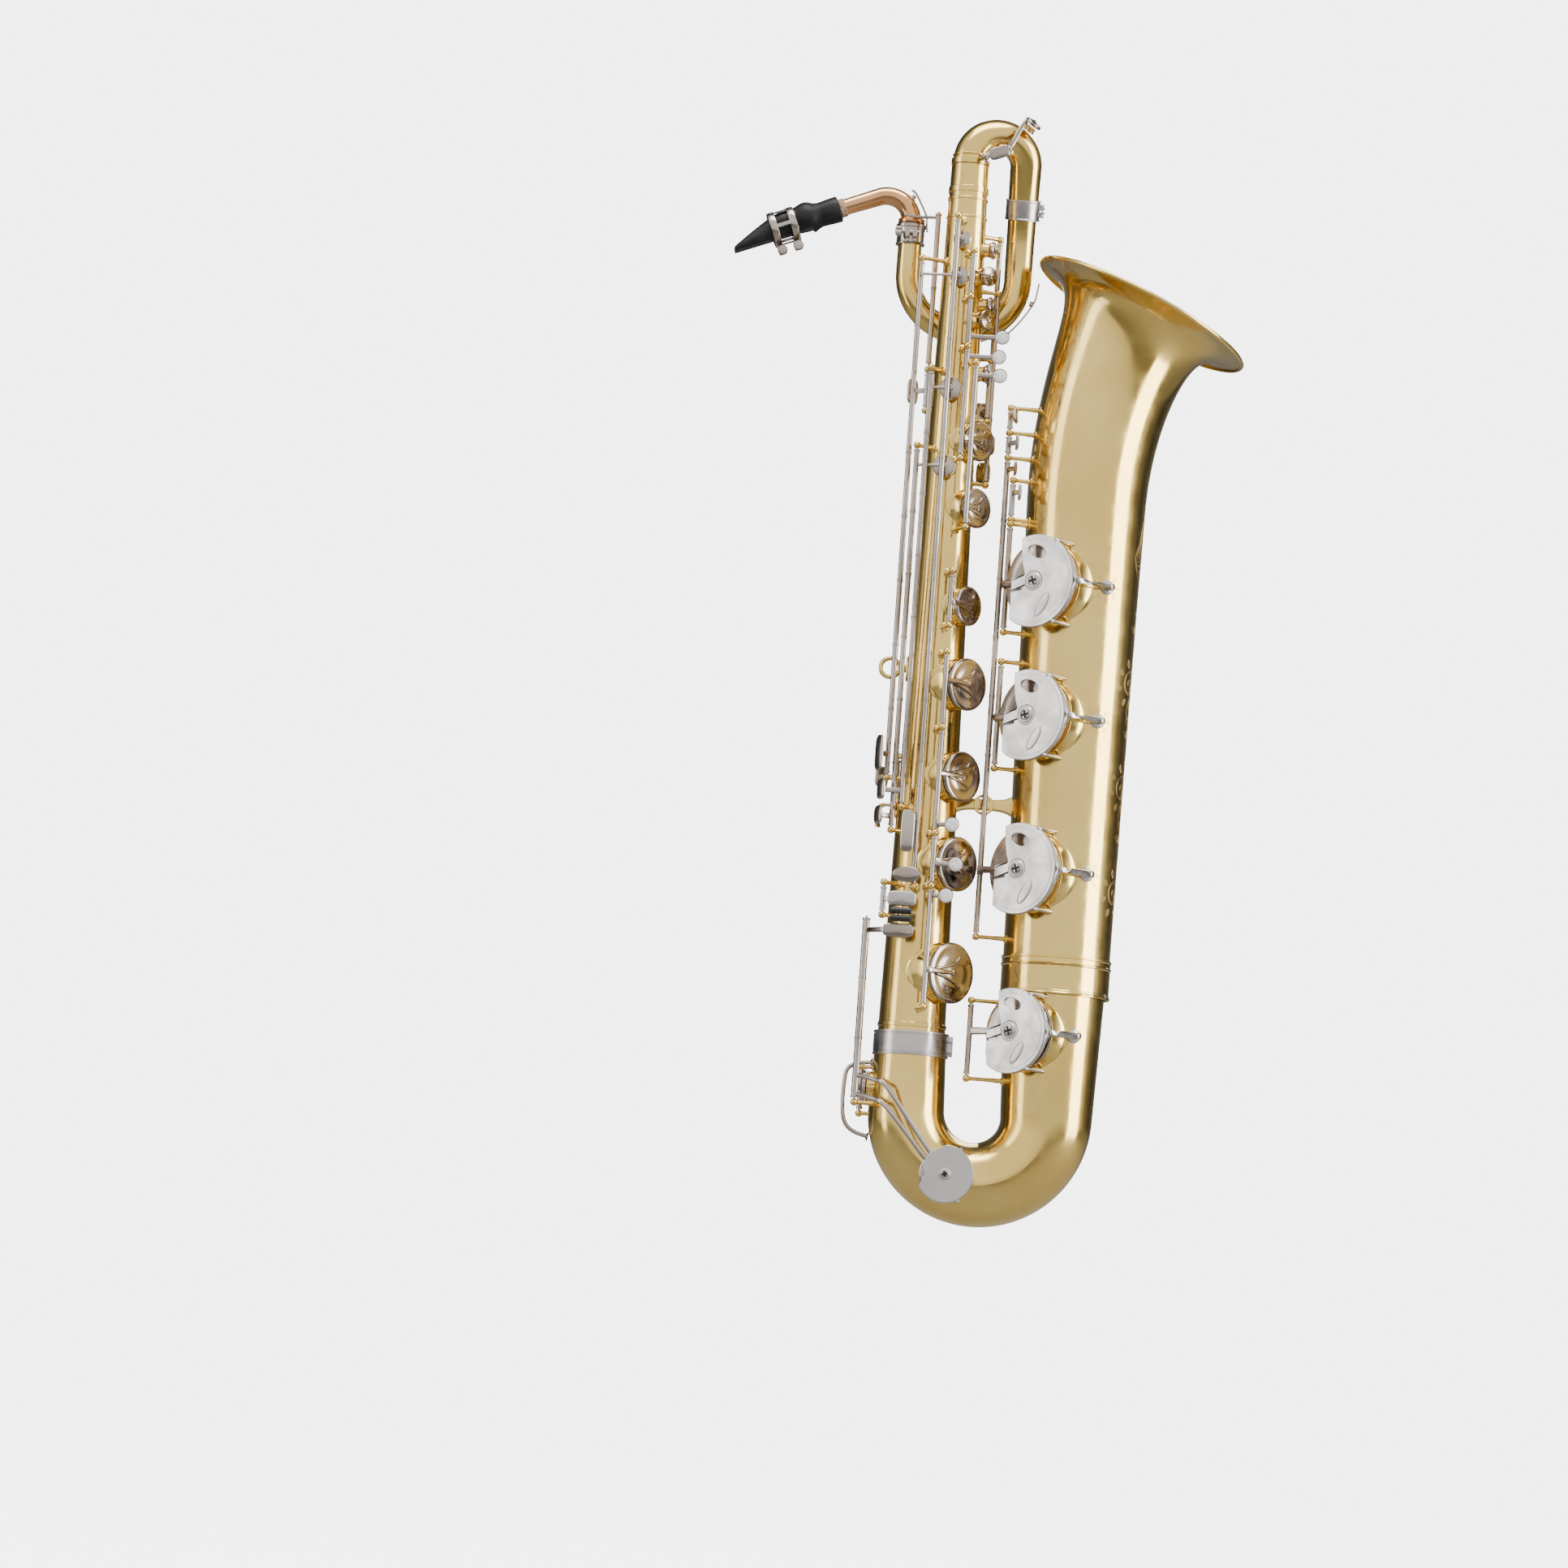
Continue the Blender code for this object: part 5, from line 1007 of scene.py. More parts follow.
def make_low_keys():
    """Low C key under the bow and low E flat key on its left leg."""
    metal = Shell()
    barrel(metal, C_LINE, -58.0, 112.0, 3.4)
    out = facing(0.0)
    seat = LOW_C_MID + out * (LOW_C_BOW_R + CHIMNEY_H + SEAT)
    metal.grid(swing(cup(seat, out, LOW_C_R), C_LINE, -LOW_C_OPEN), cap_start=True, cap_end=True)
    for z in (-36.0, -54.0):
        start = np.array([*C_LINE, z])
        elbow = np.array([-18.0, seat[1] - 3.0, z - 12.0])
        end = seat + out * (CUP_T - 0.6) + Z * (z + 48.0) * 0.4
        path = curve_through([start, start * 0.4 + elbow * 0.6 + out * 2 + Z * 2.5, elbow,
                              elbow * 0.4 + end * 0.6 - Z * 1.5, end], 8)
        arm = strap(path, 4.4, 3.0, out, 16, 0.75)
        metal.grid(swing(arm, C_LINE, -LOW_C_OPEN), cap_start=True, cap_end=True)
    touch = np.array([-20.5, -49.8, 100.0])
    slab(metal, touch, [1, -0.08, 0], Z, 29.0, 13.0, 2.6, 0.55, 0.7)
    path = curve_through([[*C_LINE, 100.0], [-44, -36, 100.0], [-33, -48.0, 100.0], [-24, -48.8, 100.0]], 7)
    metal.grid(strap(path, 5.0, 2.8, out, 14, 0.6), cap_start=True, cap_end=True)
    metal.piece("key_low_c_metal", NICKEL, "key_low_c", "nickel", ["key_low_c"])
    rows = [(0.7, 4.0), (0.0, 9.0), (0.0, 19.0), (0.6, 21.1), (1.2, 21.1), (1.2, 0.5)]
    skin = Shell().grid(swing(turned(seat, out, rows, 48), C_LINE, -LOW_C_OPEN), cap_start=True, cap_end=True)
    skin.piece("key_low_c_pad", LEATHER, "key_low_c", "nickel")

    metal = Shell()
    barrel(metal, E_LINE, -66.0, -30.0)
    out = facing(-90.0)
    seat = np.array([0, 0, EFLAT_Z]) + out * (BOW_FOOT_R + CHIMNEY_H + SEAT)
    metal.grid(cup(seat, out, EFLAT_R), cap_start=True, cap_end=True)
    top = seat + out * (CUP_T + 0.2)
    metal.grid(strap(curve_through([[*E_LINE, EFLAT_Z], [-49, 12, EFLAT_Z], top], 7), 5.0, 2.6, out, 14, 0.6),
               cap_start=True, cap_end=True)
    metal.piece("key_low_eflat_metal", NICKEL, "key_low_eflat", "nickel", ["key_low_eflat"])
    rows = [(0.7, 4.0), (0.0, 7.0), (0.0, 14.0), (0.6, 16.1), (1.2, 16.1), (1.2, 0.5)]
    Shell().grid(turned(seat, out, rows, 40), cap_start=True, cap_end=True).piece(
        "key_low_eflat_pad", LEATHER, "key_low_eflat", "nickel")
    for name in ("roller_upper", "roller_lower"):
        low, high = (np.array(c) * 1000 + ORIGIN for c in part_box(name))
        mid, half = (low + high) / 2, (high[0] - low[0]) / 2
        r = (high[2] - low[2]) / 2
        a = np.linspace(-half + 0.6, half - 0.6, 9)
        rows = [(-half, 1.2), (-half + 0.1, r - 0.5)] + [(x, r - 0.35 * (x / half) ** 4) for x in a]
        rows += [(half - 0.1, r - 0.5), (half, 1.2)]
        lathe(Shell(), mid, [1, 0, 0], rows, 36).piece(name + "_fine", ROLLER, name, "roller", [name])
    # guard over the low C cup
    base = LOW_C_MID + facing(0.0) * (LOW_C_BOW_R + CHIMNEY_H + 16.0)
    a = np.radians(np.linspace(-150, 90, 60))
    r = LOW_C_R + 5.0
    edge = np.stack([r * np.cos(a), r * np.sin(a)], -1)
    inner = np.array([[-0.55 * r, 0.72 * r], [-0.80 * r, 0.25 * r], [-0.72 * r, -0.1 * r]])
    flat = plate(Shell(), [np.concatenate([edge, inner])], 2.0, 0.7, base + [0, -1.0, 0], [1, 0, 0], Z)
    flat.piece("guard_low_c_plate", GUARD_NICKEL, "root", "nickel", ["guard_low_c"], 8.0)
    shell = Shell()
    skirt = base + np.stack([(r - 0.5) * np.cos(a), a * 0 + 0.9, (r - 0.5) * np.sin(a)], -1)
    shell.grid(strap(skirt, 4.6, 1.4, skirt - base, 14, 0.6), cap_start=True, cap_end=True)
    for deg in (-60.0, 60.0):
        b = math.radians(deg)
        high = base + np.array([(LOW_C_R + 5.5) * math.cos(b), -0.8, (LOW_C_R + 5.5) * math.sin(b)])
        off = abs(math.hypot(high[0] - BELL_X / 2, high[2] + BOW_DROP) - BELL_X / 2)
        low = -math.sqrt(max((LOW_C_BOW_R + 0.3) ** 2 - off ** 2, 0.0))
        path = curve_through([high, [high[0], (high[1] + low) / 2, high[2]], [high[0], low, high[2]]], 6)
        shell.grid(pipe(path, np.linspace(1.8, 2.3, len(path)), 14, Z), cap_start=True, cap_end=True)
    lathe(shell, base - Y * 1.8, -Y, [(0, 6.0), (0.7, 5.6), (1.2, 4.6)], 30)
    shell.piece("guard_low_c_legs", GUARD_NICKEL, "root", "nickel")
    make_cross_screw("guard_low_c_screw", base - Y * 2.6, -Y, np.array([1.0, 0, 0]), 3.6)


def make_fittings():
    """Thigh guard, bell brace, thumb hook and rest, strap ring."""
    wire = curve_through([[-34.4, 0, -22.5], [-46, 0, -23.5], [-57, 0, -29], [-60, 0, -42], [-60, 0, -68],
                          [-56, 0, -82], [-47, 0, -89], [-34.2, 0, -92.5]], 10)
    shell = Shell().grid(pipe(wire, 2.0, 20), cap_start=True, cap_end=True)
    for end, way in ((wire[0], wire[1] - wire[0]), (wire[-1], wire[-2] - wire[-1])):
        lathe(shell, end - unit(way) * 0.2, way, [(0, 5.0), (0.8, 4.8), (1.6, 3.2), (2.6, 2.2)], 28)
    shell.piece("thigh_guard_fine", NICKEL, "root", "nickel", ["thigh_guard"])

    z, y = 230.0, 14.0
    shell = Shell()
    left, right = body_r(z) - 4.0, BELL_X - float(bell_r(z - BOW_LEG)) + 4.0
    span = np.linspace(left, right, 24)
    path = np.stack([span, span * 0 + y, span * 0 + z], -1)
    t = np.linspace(-1, 1, 24)
    shell.grid(strap(path, 11.0 + 14.0 * t ** 4, 3.0, Y, 24, 0.5), cap_start=True, cap_end=True)
    ring_mid = np.array([(left + right) / 2, y, z])
    shell.grid(turned(ring_mid, Y, [(-2.4, 7.4), (-2.4, 9.2), (-1.4, 9.8), (1.4, 9.8), (2.4, 9.2), (2.4, 7.4),
                                    (-2.4, 7.4)], 48))
    shell.piece("bell_brace_fine", LACQUER, "root", "lacquer", ["bell_brace"])

    out = facing(-112.0)
    spot = np.array([0, 0, 222.0]) + out * (body_r(222.0) + 0.5)
    path = curve_through([spot + out * 0.5, spot + out * 8 + Z * 1.5, spot + out * 17 + Z * 1.0,
                          spot + out * 21.5 - Z * 5, spot + out * 21.0 - Z * 13,
                          spot + out * 19.5 - Z * 19.5], 8)
    shell = Shell().grid(strap(path, 11.5, 2.8, Z + out * 0.3, 20, 0.6), cap_start=True, cap_end=True)
    slab(shell, spot + out * 0.8, np.cross(Z, out), Z, 10.0, 24.0, 2.2, 0.5)
    slab(shell, spot + out * 0.8, np.cross(Z, out), Z, 16.0, 9.0, 1.8, 0.5)
    shell.piece("thumb_hook_fine", LACQUER, "root", "lacquer", ["thumb_hook"])

    out = facing(-118.0)
    spot = box_mid("thumb_rest") + ORIGIN
    spot = np.array([0, 0, spot[2]]) + out * (body_r(spot[2]) + 0.3)
    rows = [(0, 7.6), (0.4, 8.0), (2.6, 8.0), (3.6, 7.6), (4.6, 6.2), (5.1, 3.6), (5.2, 0.01)]
    lathe(Shell(), spot, out, rows, 40).piece("thumb_rest_fine", RUBBER_AND_SLOT_SHADE, "root", "ebonite", ["thumb_rest"])

    a = np.linspace(0, TAU, 64, endpoint=False)
    ring = ORIGIN + 9.0 * np.stack([np.cos(a), a * 0, np.sin(a)], -1)
    b = np.linspace(0, TAU, 18, endpoint=False)
    away = unit(ring - ORIGIN)
    tube = ring[:, None] + 2.2 * (np.cos(b)[:, None] * away[:, None] + np.sin(b)[:, None] * Y)
    shell = Shell().grid(tube[::-1], close_u=True)
    wall = body_r(ORIGIN[2]) + 0.5
    foot = np.array([-wall, 0, ORIGIN[2]])
    path = np.linspace(foot, ORIGIN + [8.6, 0, 0], 8)
    shell.grid(strap(path, np.linspace(9, 5.5, 8), np.linspace(5.5, 4.2, 8), Y, 18, 0.7), cap_start=True,
               cap_end=True)
    slab(shell, foot - [0.9, 0, 0], -Y, Z, 8.5, 25.0, 2.2, 0.6)
    shell.piece("strap_ring_fine", LACQUER, "root", "lacquer", ["strap_ring"])


# --- neck and mouthpiece -----------------------------------------------------------------
AHEAD = np.array([-math.cos(MOUTH_DROP), 0.0, -math.sin(MOUTH_DROP)])
ABOVE = np.array([-math.sin(MOUTH_DROP), 0.0, math.cos(MOUTH_DROP)])
ACROSS = np.cross(AHEAD, ABOVE)
LOOP_TOP = np.array([2 * TOP_BOW_R - 2 * LOOP_BEND_R, LOOP_BACK, BODY_LENGTH + 6.0 - LOOP_DROP + LOOP_RISE])
NECK_FOOT = LOOP_TOP + Z * 0.6
TURN = np.linspace(0, math.pi / 2 + MOUTH_DROP, 40)
NECK_BEND = LOOP_TOP + Z * NECK_RISE + NECK_BEND_R * np.stack(
    [np.cos(TURN) - 1, TURN * 0, np.sin(TURN)], -1)
CORK_START = NECK_BEND[-1] + AHEAD * (NECK_STRAIGHT - CORK_LENGTH)
SHANK_START = CORK_START + AHEAD * 6.0


def make_neck():
    """Neck: circles of easing radius along the crook, turned tenon, stay, octave lever and cork."""
    straight = NECK_BEND[-1] + AHEAD * np.linspace(0, NECK_STRAIGHT, 20)[1:, None]
    path = np.concatenate([np.linspace(NECK_FOOT, NECK_BEND[0], 8)[:-1], NECK_BEND, straight])
    radius = NECK_R + (NECK_TIP_R - NECK_R) * run_of(path)
    shell = hollow(Shell(), path, radius, WALL, 56)
    collar = RECEIVER_H / 2 + 4.0
    band(shell, NECK_FOOT, Z, LOOP_END_R - 1.7, [(0.0, 1.0), (collar, 1.0)], 64)
    band(shell, NECK_FOOT, Z, NECK_R - 1.0,
         [(collar + 0.1, 2.0), (collar + 0.3, 4.0), (collar + 1.5, 4.4), (collar + 2.0, 3.6),
          (collar + 3.6, 3.6),
          (collar + 4.2, 4.2), (collar + 5.2, 3.4), (collar + 6.2, 1.4), (collar + 9.0, 0.4)], 64)
    rib = NECK_BEND[4:36:2]
    under = LOOP_TOP + Z * NECK_RISE - [NECK_BEND_R, 0, 0]
    rib = rib + unit(under - rib) * (np.interp(np.linspace(0, 1, len(rib)), [0, 1], [9.0, 7.9]) + 0.2)[:,
                                                                                                       None]
    shell.grid(strap(rib, 2.2, 1.6, unit(under - rib), 12, 0.7), cap_start=True, cap_end=True)
    shell.piece("neck_fine", COPPER, "neck", "copper", ["neck"])

    shell = Shell()
    band(shell, NECK_BEND[-1] + AHEAD * 3.0, AHEAD, 7.4, rolled(2.0, 1.0), 48)
    spot = NECK_BEND[16] + unit(NECK_BEND[16] - under) * 9.0
    way = unit(NECK_BEND[17] - NECK_BEND[15])
    lathe(shell, spot - unit(NECK_BEND[16] - under) * 1.5, NECK_BEND[16] - under,
          [(0, 3.6), (2.4, 3.2), (3.0, 2.4), (4.6, 2.4), (5.0, 1.4)], 24)
    lever = curve_through([spot + unit(spot - under) * 5.0 + way * 6, spot + unit(spot - under) * 5.6,
                           NECK_BEND[4] + unit(NECK_BEND[4] - under) * 14.5, NECK_FOOT + [14.5, 0, 17.0],
                           NECK_FOOT + [15.5, 0, 8.0]], 8)
    shell.grid(strap(lever, 2.0, 5.0, Y, 14, 0.6), cap_start=True, cap_end=True)
    shell.piece("neck_octave_lever", NICKEL, "neck", "nickel")

    shell = Shell()
    rows = [(0.0, NECK_R - 2.6), (0.0, CORK_R - 0.5), (0.6, CORK_R), (CORK_LENGTH - 1.8, CORK_R - 0.25),
            (CORK_LENGTH - 1.0, CORK_R - 0.9), (CORK_LENGTH - 1.0, NECK_TIP_R + 0.1), (0.0, NECK_R - 2.6)]
    shell.grid(turned(CORK_START, AHEAD, rows, 56))
    shell.piece("neck_cork_fine", CORK, "neck", "cork", ["neck_cork"])


def mouth_rows(h, top, low, half, sides=64):
    """Oval sections: half-width times cosine across, half the height times sine above the middle."""
    a = np.linspace(0, TAU, sides, endpoint=False)
    h, top, low, half = (np.asarray(v, float)[:, None, None] for v in (h, top, low, half))
    mid = SHANK_START + AHEAD * h + ABOVE * (top + low) / 2
    return mid + ACROSS * half * np.cos(a)[:, None] + ABOVE * (top - low) / 2 * np.sin(a)[:, None]


def make_mouthpiece():
    """Mouthpiece: oval rows with a swelling and a sloping beak, a flat table and a turned bore."""
    beak = MOUTH_LENGTH - 48.0
    keys = np.array([
        (0.0, 11.4, -11.4, 11.4), (0.5, 12.3, -12.3, 12.3), (1.4, 12.8, -12.8, 12.8), (8.0, 12.6, -12.6,
                                                                                       12.6),
        (14.0, 12.2, -12.2, 12.2), (20.0, 11.9, -11.9, 11.9), (24.0, 13.0, -13.0, 12.9),
        (28.0, 15.2, -15.0, 14.6), (31.0, 16.1, -15.8, 15.2), (34.0, 16.2, -15.9, 15.3), (37.0, 15.6,
                                                                                          -15.4, 14.8),
        (42.0, 14.0, -13.8, 13.7), (48.0, 13.4, -13.6, 13.4), (beak - 4.0, 13.4, -13.6, 13.4),
        (beak + 2.0, 12.6, -13.6, 13.2), (beak + 12.0, 9.2, -13.6, 12.7), (beak + 24.0, 4.4, -13.6, 11.7),
        (beak + 36.0, -0.8, -13.6, 10.7), (MOUTH_LENGTH - 4.0, -4.4, -13.6, 10.0), (MOUTH_LENGTH - 1.5,
                                                                                    -5.8, -13.6, 9.5),
        (MOUTH_LENGTH - 0.4, -7.0, -12.8, 9.1), (MOUTH_LENGTH, -8.4, -12.0, 8.6)])
    h = np.unique(np.concatenate([keys[:, 0], np.linspace(13, MOUTH_LENGTH - 5, 90)]))
    top, low, half = (np.interp(h, keys[:, 0], keys[:, k]) for k in (1, 2, 3))
    grid = mouth_rows(h, top, low, half)
    over = (grid - SHANK_START) @ ABOVE
    beyond = np.clip((h - 29.0) / 2.0, 0, 1)[:, None]
    lift = np.maximum(TABLE - over, 0.0) * beyond
    grid = grid + lift[..., None] * ABOVE
    bore = turned(SHANK_START, AHEAD, [(0.0, CORK_R + 1.2), (0.6, CORK_R + 0.4), (62.0, CORK_R + 0.4),
                                       (62.5, 5.5), (70.0, 3.0)], 64)
    shell = Shell().grid(grid, cap_end=True)
    shell.grid(bore[::-1], cap_start=True)
    ring = np.stack([grid[0], bore[0]])[::-1]
    shell.grid(align_rings(ring))
    shell.piece("mouthpiece_fine", RUBBER_AND_SLOT_SHADE, "mouthpiece", "ebonite", ["mouthpiece"], 40.0)


def align_rings(pair):
    """Turns the second ring's points to start beside the first ring's."""
    gap = np.linalg.norm(pair[1] - pair[0][0], axis=1)
    other = np.roll(pair[1], -int(np.argmin(gap)), axis=0)
    if np.linalg.norm(other[8] - pair[0][8]) > np.linalg.norm(other[-8] - pair[0][8]):
        other = np.roll(other[::-1], 1, axis=0)
    return np.stack([pair[0], other])


def make_ligature():
    """Ligature: two bands joined by rails, lugs, and two thumbscrews."""
    low_mid = SHANK_START + AHEAD * 57.0 - ABOVE * 1.5
    shell = Shell()
    for at in (-9.5, 9.5):
        band(shell, low_mid + AHEAD * at, AHEAD, 15.9, rolled(3.4, 1.3, 0.6), 96)
        band(shell, low_mid + AHEAD * at, AHEAD, 16.9, rolled(0.5, 0.7, 0.2), 96)
    for turn in (-150, -90, -30, 30, 90, 150):
        a = math.radians(turn)
        out = math.cos(a) * ABOVE + math.sin(a) * ACROSS
        path = low_mid + out * 16.5 + AHEAD * np.linspace(-8, 8, 8)[:, None]
        shell.grid(strap(path, 4.0, 1.1, out, 12, 0.6), cap_start=True, cap_end=True)
    for p in (low_mid + AHEAD * 8.0, low_mid - AHEAD * 8.0):
        for y in (-2.6, 2.6):
            root = p - ABOVE * 16.6 + ACROSS * y
            path = np.linspace(root, root - ABOVE * 8.6, 6)
            shell.grid(strap(path, 7.5, 1.8, ACROSS, 16, 0.5), cap_start=True, cap_end=True)
        lathe(shell, p - ABOVE * 22.5 - ACROSS * 3.6, ACROSS, [(0, 1.7), (0.1, 2.9), (7.1, 2.9),
                                                               (7.2, 1.7)], 24)
    shell.piece("ligature_fine", NICKEL, "mouthpiece", "nickel", ["ligature"])
    for name in ("ligature_screw_front", "ligature_screw_rear"):
        thumbscrew(name, hinge_line(name), -Y, 4.0, 12.4, 4.7, 1.3, -5.0)


def thumbscrew(name, place, out, start, end, r, shaft, tail):
    """Knurled thumbscrew: shaft, collar, and a head whose rim is cut into fine ridges."""
    rows = [(tail, shaft * 0.6), (tail + 0.4, shaft), (start, shaft), (start + 0.1, r * 0.45),
            (start + 1.4, r * 0.5),
            (start + 1.6, r * 0.86), (start + 2.1, r), (end - 1.0, r), (end - 0.4, r * 0.88), (end - 0.2,
                                                                                               r * 0.5),
            (end, 0.01)]
    grid = turned(place, out, rows, 96)
    h, radius = np.array(rows).T
    knurl = np.where(radius > r * 0.95, 0.05, 0.0)[:, None] * np.cos(24 * np.linspace(0, TAU, 96,
                                                                                      endpoint=False))
    axis = unit(out)
    rel = grid - place
    radial = rel - (rel @ axis)[..., None] * axis
    shell = Shell().grid(grid + radial * knurl[..., None], cap_start=True, cap_end=True)
    shell.piece(name + "_fine", NICKEL, name, "nickel", [name])


def make_receiver():
    """Split receiver clamp on the loop's end, with its lugs and screw."""
    mid = LOOP_TOP + Z * 4.0
    shell = Shell()
    lines = [(-10, 0.6), (-9.7, 2.2), (-8.4, 2.5), (-7.6, 1.5), (6.2, 1.5), (7.0, 2.5), (9.6, 2.5), (10, 1.6)]
    band(shell, mid, Z, LOOP_END_R + 0.4, lines, 72)
    for x in (-3.6, 3.6):
        path = np.array([mid + [x, -RECEIVER_EDGE + 1.5, 0], mid + [x, -RECEIVER_EDGE - 7.6, 0]])
        shell.grid(strap(path, 9.5, 4.2, [1, 0, 0], 20, 0.6), cap_start=True, cap_end=True)
    shell.piece("neck_receiver_fine", NICKEL, "root", "nickel", ["neck_receiver"])
    thumbscrew("neck_screw", mid + [0, -RECEIVER_EDGE - 4.0, 0], np.array([-1.0, 0, 0]), 7.4, 15.6, 4.3,
               1.7, -8.0)


def make_water_key():
    """Spit key: barrel, lever, thumb end and its little corked cup."""
    hinge = hinge_line("water_key")
    low = BODY_LENGTH + 6.0 - LOOP_DROP
    a = math.radians(-52.0)
    out = np.array([math.cos(a), 0, math.sin(a)])
    pad = np.array([2 * TOP_BOW_R - LOOP_BEND_R, LOOP_BACK, low]) + out * (LOOP_BEND_R + LOOP_R + 1.0)
    shell = Shell()
    lathe(shell, hinge - Y * 4.4, Y, [(0, 1.6), (0.2, 2.3), (8.6, 2.3), (8.8, 1.6)], 24)
    lathe(shell, pad, out, [(0.3, 4.4), (0.5, 4.7), (2.2, 4.7), (3.0, 3.9), (3.3, 0.01)], 32)
    path = curve_through([pad + out * 2.6, pad * 0.5 + hinge * 0.5 + out * 3.6, hinge + [1.6, 0, 0],
                          hinge + [4.5, 0, 10], hinge + [6.0, 0, 20]], 8)
    shell.grid(strap(path, np.interp(run_of(path), [0, 0.6, 1], [3.4, 4.0, 6.5]), 1.8,
                     np.array([1.0, 0, 0]), 16, 0.6),
               cap_start=True, cap_end=True)
    shell.piece("water_key_fine", NICKEL, "water_key", "nickel", ["water_key"])
    lathe(Shell(), pad, out, [(-0.6, 0.01), (-0.6, 3.6), (0.4, 3.9), (0.8, 3.9)], 24).piece(
        "water_key_cork", CORK, "water_key", "cork")


def make_octave():
    """Octave mechanism on the body: rod, arm and the crook that lifts the neck's lever."""
    line = hinge_line("octave_key")
    metal = Shell()
    barrel(metal, line, 650.0, OCTAVE_HEAD)
    z = OCTAVE_HEAD - 4.0
    path = curve_through([[*line[:2], z], [-36, 16.0, z + 0.5], [-44, 20.0, z + 1], [-52, 22.6, z + 2],
                          [-60, 23.0, z + 3]], 8)
    metal.grid(strap(path, 4.4, 2.6, Z, 16, 0.6), cap_start=True, cap_end=True)
    metal.piece("octave_key_metal", NICKEL, "octave_key", "nickel", ["octave_key"])


for build in (make_body_tube, make_bottom_bow, make_bell, make_engraving, make_bands, make_loop, make_touches,
              make_low_keys, make_fittings, make_neck, make_mouthpiece, make_ligature, make_receiver,
              make_water_key, make_octave):
    build()
for key in CUP_KEYS:
    make_key(key)
for note in ("low_a", "low_bflat", "low_b", "low_csharp"):
    make_guard(note)


# --- stage, lights and camera ---------------------------------------------------------------
def pale_floor():
    """Flat pale floor; it glows white to the eye only, so it meets the surroundings unseen."""
    low = CAD_BOX[0][2] - 0.35
    grid = np.array([[-8.0, -8.0, low], [8.0, -8.0, low], [8.0, 8.0, low], [-8.0, 8.0, low]])
    mesh = bpy.data.meshes.new("floor")
    mesh.from_pydata(grid.tolist(), [], [(0, 1, 2, 3)])
    paint = bpy.data.materials.new("pale_floor")
    paint.use_nodes = True
    paint.node_tree.nodes["Principled BSDF"].inputs["Base Color"].default_value = (0.25, 0.25, 0.25, 1)
    paint.node_tree.nodes["Principled BSDF"].inputs["Roughness"].default_value = 0.9
    paint.node_tree.nodes["Principled BSDF"].inputs["Emission Color"].default_value = (1, 1, 1, 1)
    glow, seen = paint.node_tree.nodes.new("ShaderNodeMath"), paint.node_tree.nodes.new("ShaderNodeLightPath")
    glow.operation = "MULTIPLY"
    glow.inputs[1].default_value = 5.0
    paint.node_tree.links.new(seen.outputs["Is Camera Ray"], glow.inputs[0])
    paint.node_tree.links.new(glow.outputs[0],
                              paint.node_tree.nodes["Principled BSDF"].inputs["Emission Strength"])
    mesh.materials.append(paint)
    floor = bpy.data.objects.new("floor", mesh)
    bpy.context.scene.collection.objects.link(floor)


def soft_light(name, place, aim, width, height, watts, color=(1, 1, 1)):
    """Rectangular softbox pointed at a place."""
    lamp = bpy.data.lights.new(name, "AREA")
    lamp.shape = "RECTANGLE"
    lamp.size, lamp.size_y, lamp.energy, lamp.color = width, height, watts, color
    obj = bpy.data.objects.new(name, lamp)
    obj.matrix_world = look_matrix(np.array(place, float), np.array(aim, float))
    bpy.context.scene.collection.objects.link(obj)


def look_matrix(place, aim, roll=0.0):
    """Placement whose -Z looks from place to aim and whose up leans by roll."""
    back = unit(place - aim)
    right = unit(np.cross(Z, back))
    up = np.cross(back, right)
    c, s = math.cos(roll), math.sin(roll)
    right, up = right * c + up * s, up * c - right * s
    rows = np.eye(4)
    rows[:3, 0], rows[:3, 1], rows[:3, 2], rows[:3, 3] = right, up, back, place
    return Matrix(rows.tolist())


VIEW_WIDTH, VIEW_DISTANCE, VIEW_LIFT, VIEW_ROLL = 1.486, 5.5, math.radians(-6.0), math.radians(4.05)


def front_camera():
    """Camera straight in front, a little below, with the horn leaning to the right."""
    aim = (np.array([-136.5, 0.0, 235.0]) - ORIGIN) * MM
    lens = bpy.data.cameras.new("camera")
    lens.sensor_width = 36.0
    lens.lens = 36.0 * VIEW_DISTANCE / VIEW_WIDTH
    lens.clip_end = 50.0
    cam = bpy.data.objects.new("camera", lens)
    place = aim + VIEW_DISTANCE * np.array([0.0, -math.cos(VIEW_LIFT), math.sin(VIEW_LIFT)])
    cam.matrix_world = look_matrix(place, aim, VIEW_ROLL)
    bpy.context.scene.collection.objects.link(cam)
    bpy.context.scene.camera = cam


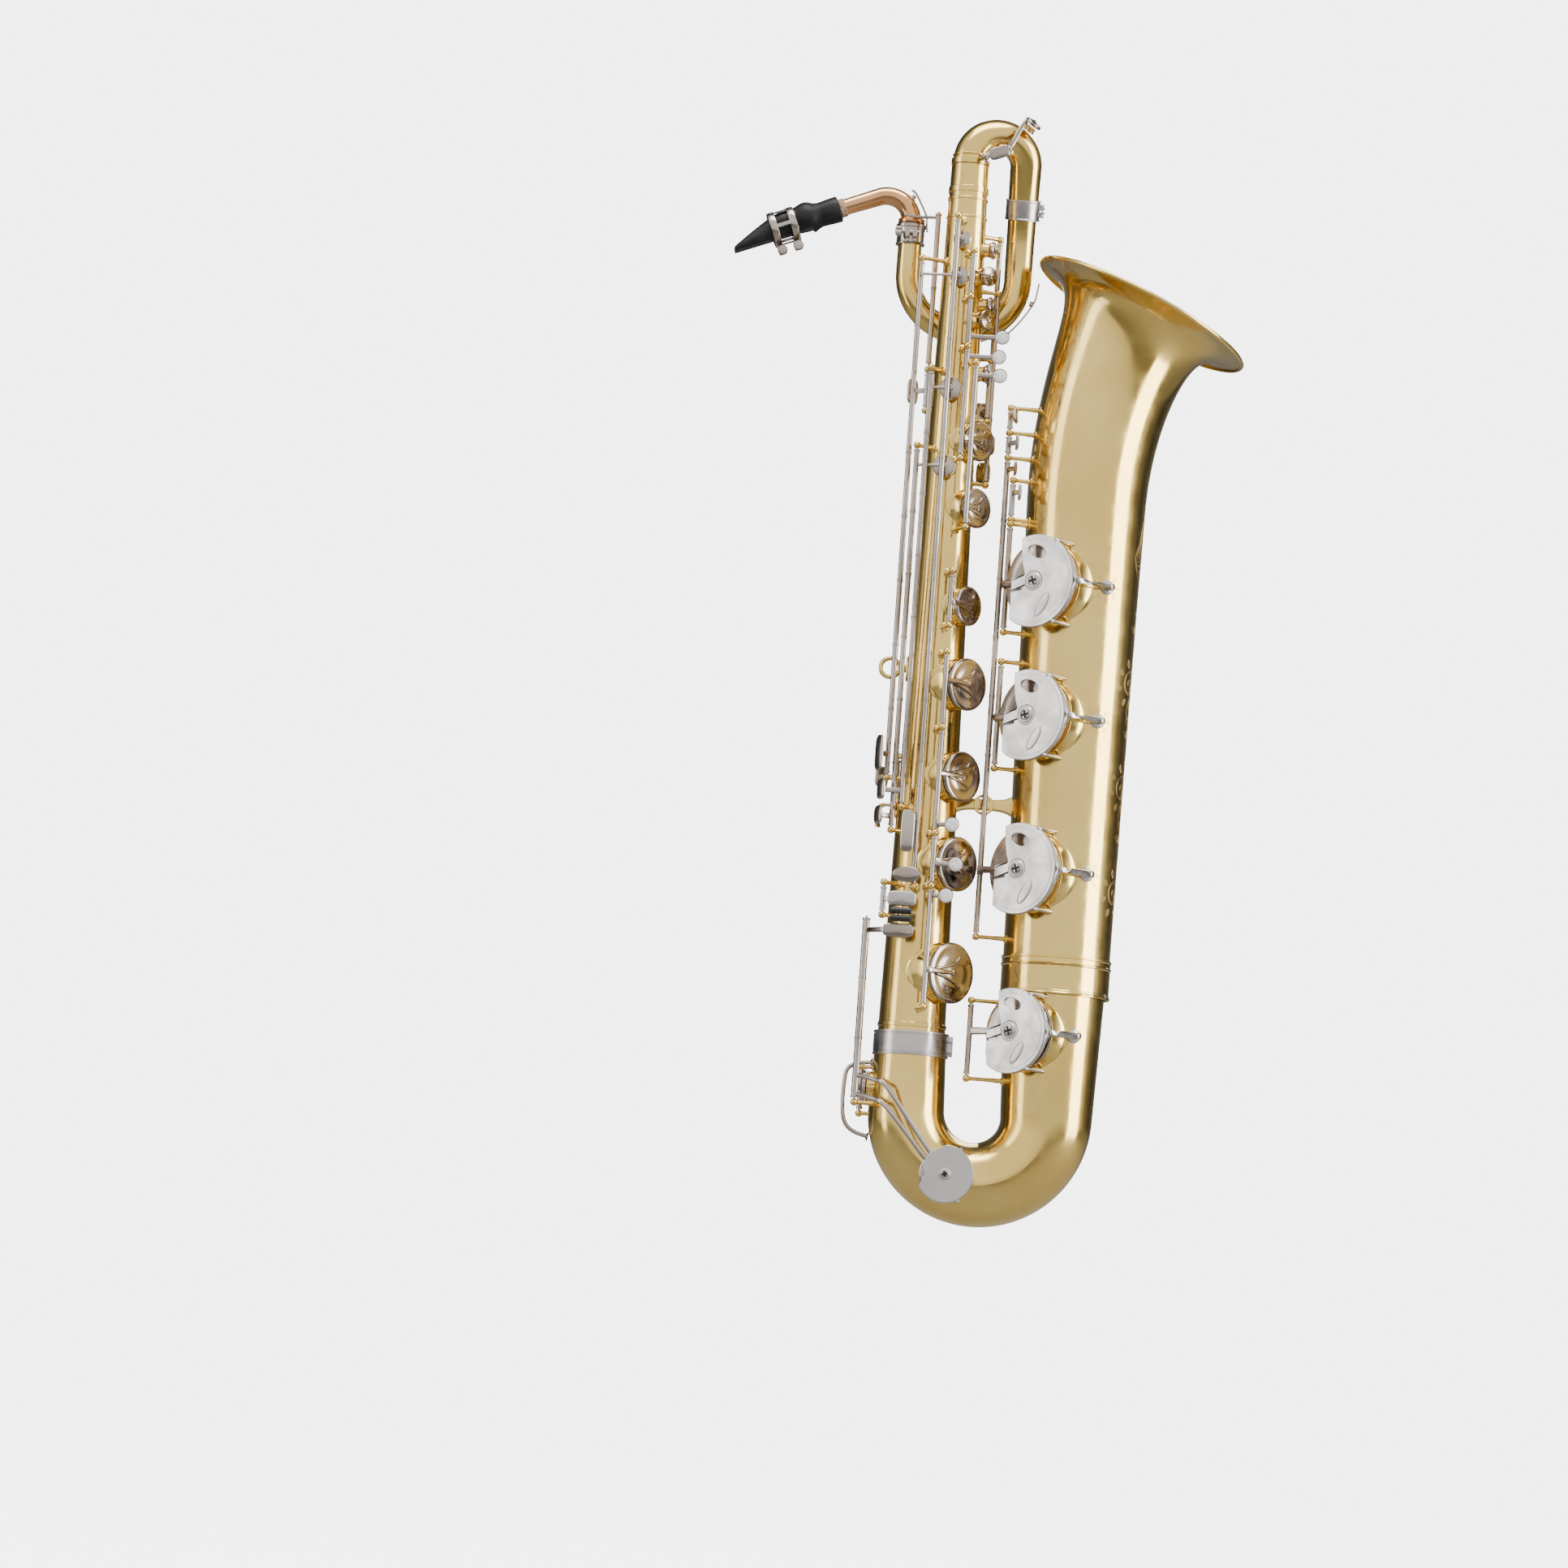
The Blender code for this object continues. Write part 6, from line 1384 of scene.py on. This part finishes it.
def studio_world():
    """Pale surroundings for the eye; what the metal mirrors is darker towards the floor and the sides."""
    world = bpy.data.worlds.new("studio")
    world.use_nodes = True
    nodes, links = world.node_tree.nodes, world.node_tree.links
    shine = nodes["Background"]
    shine.inputs["Strength"].default_value = 1.0
    place = nodes.new("ShaderNodeTexCoord")
    split = nodes.new("ShaderNodeSeparateXYZ")
    links.new(place.outputs["Generated"], split.inputs["Vector"])

    def share(value, factor, offset, stops):
        """Grey ramp over factor x value + offset, with stops of (place, grey)."""
        shift = nodes.new("ShaderNodeMath")
        shift.operation = "MULTIPLY_ADD"
        shift.inputs[1].default_value, shift.inputs[2].default_value = factor, offset
        links.new(value, shift.inputs[0])
        ramp = nodes.new("ShaderNodeValToRGB")
        for extra in stops[2:]:
            ramp.color_ramp.elements.new(extra[0])
        for stop, (at, grey) in zip(ramp.color_ramp.elements, sorted(stops)):
            stop.position, stop.color = at, (grey, grey, grey, 1)
        links.new(shift.outputs["Value"], ramp.inputs["Fac"])
        return ramp.outputs["Color"]

    sides = share(split.outputs["Y"], 0.5, 0.5, [(0.0, 1.3), (1.0, 0.25), (0.5, 1.15), (0.62, 0.25),
                                                 (0.80, 0.06),
                                                 (0.92, 0.10)])
    heights = share(split.outputs["Z"], 0.5, 0.5, [(0.2, 0.30), (0.6, 1.0)])
    both = nodes.new("ShaderNodeMix")
    both.data_type, both.blend_type = "RGBA", "MULTIPLY"
    both.inputs["Factor"].default_value = 1.0
    links.new(sides, both.inputs["A"])
    links.new(heights, both.inputs["B"])
    links.new(both.outputs["Result"], shine.inputs["Color"])
    plain = nodes.new("ShaderNodeBackground")
    plain.inputs["Strength"].default_value = 5.0
    plain.inputs["Color"].default_value = (1, 1, 1, 1)
    path, mix = nodes.new("ShaderNodeLightPath"), nodes.new("ShaderNodeMixShader")
    links.new(path.outputs["Is Camera Ray"], mix.inputs["Fac"])
    links.new(shine.outputs["Background"], mix.inputs[1])
    links.new(plain.outputs["Background"], mix.inputs[2])
    links.new(mix.outputs["Shader"], nodes["World Output"].inputs["Surface"])
    bpy.context.scene.world = world


pale_floor()
studio_world()
soft_light("key_light", (-2.7, -0.9, 0.5), (0.05, 0, 0.0), 0.8, 2.8, 20)
soft_light("right_light", (2.7, -0.9, 0.4), (0.1, 0, 0), 1.5, 2.8, 120)
soft_light("top_light", (0.0, -0.5, 2.6), (0.05, 0, 0), 2.2, 1.2, 60)
soft_light("back_light", (0.6, 1.9, 1.2), (0.05, 0, 0.1), 1.4, 1.4, 25)
soft_light("wall_light", (-0.5, -1.2, 3.2), (0.0, 2.2, -0.2), 3.0, 1.0, 25)
front_camera()
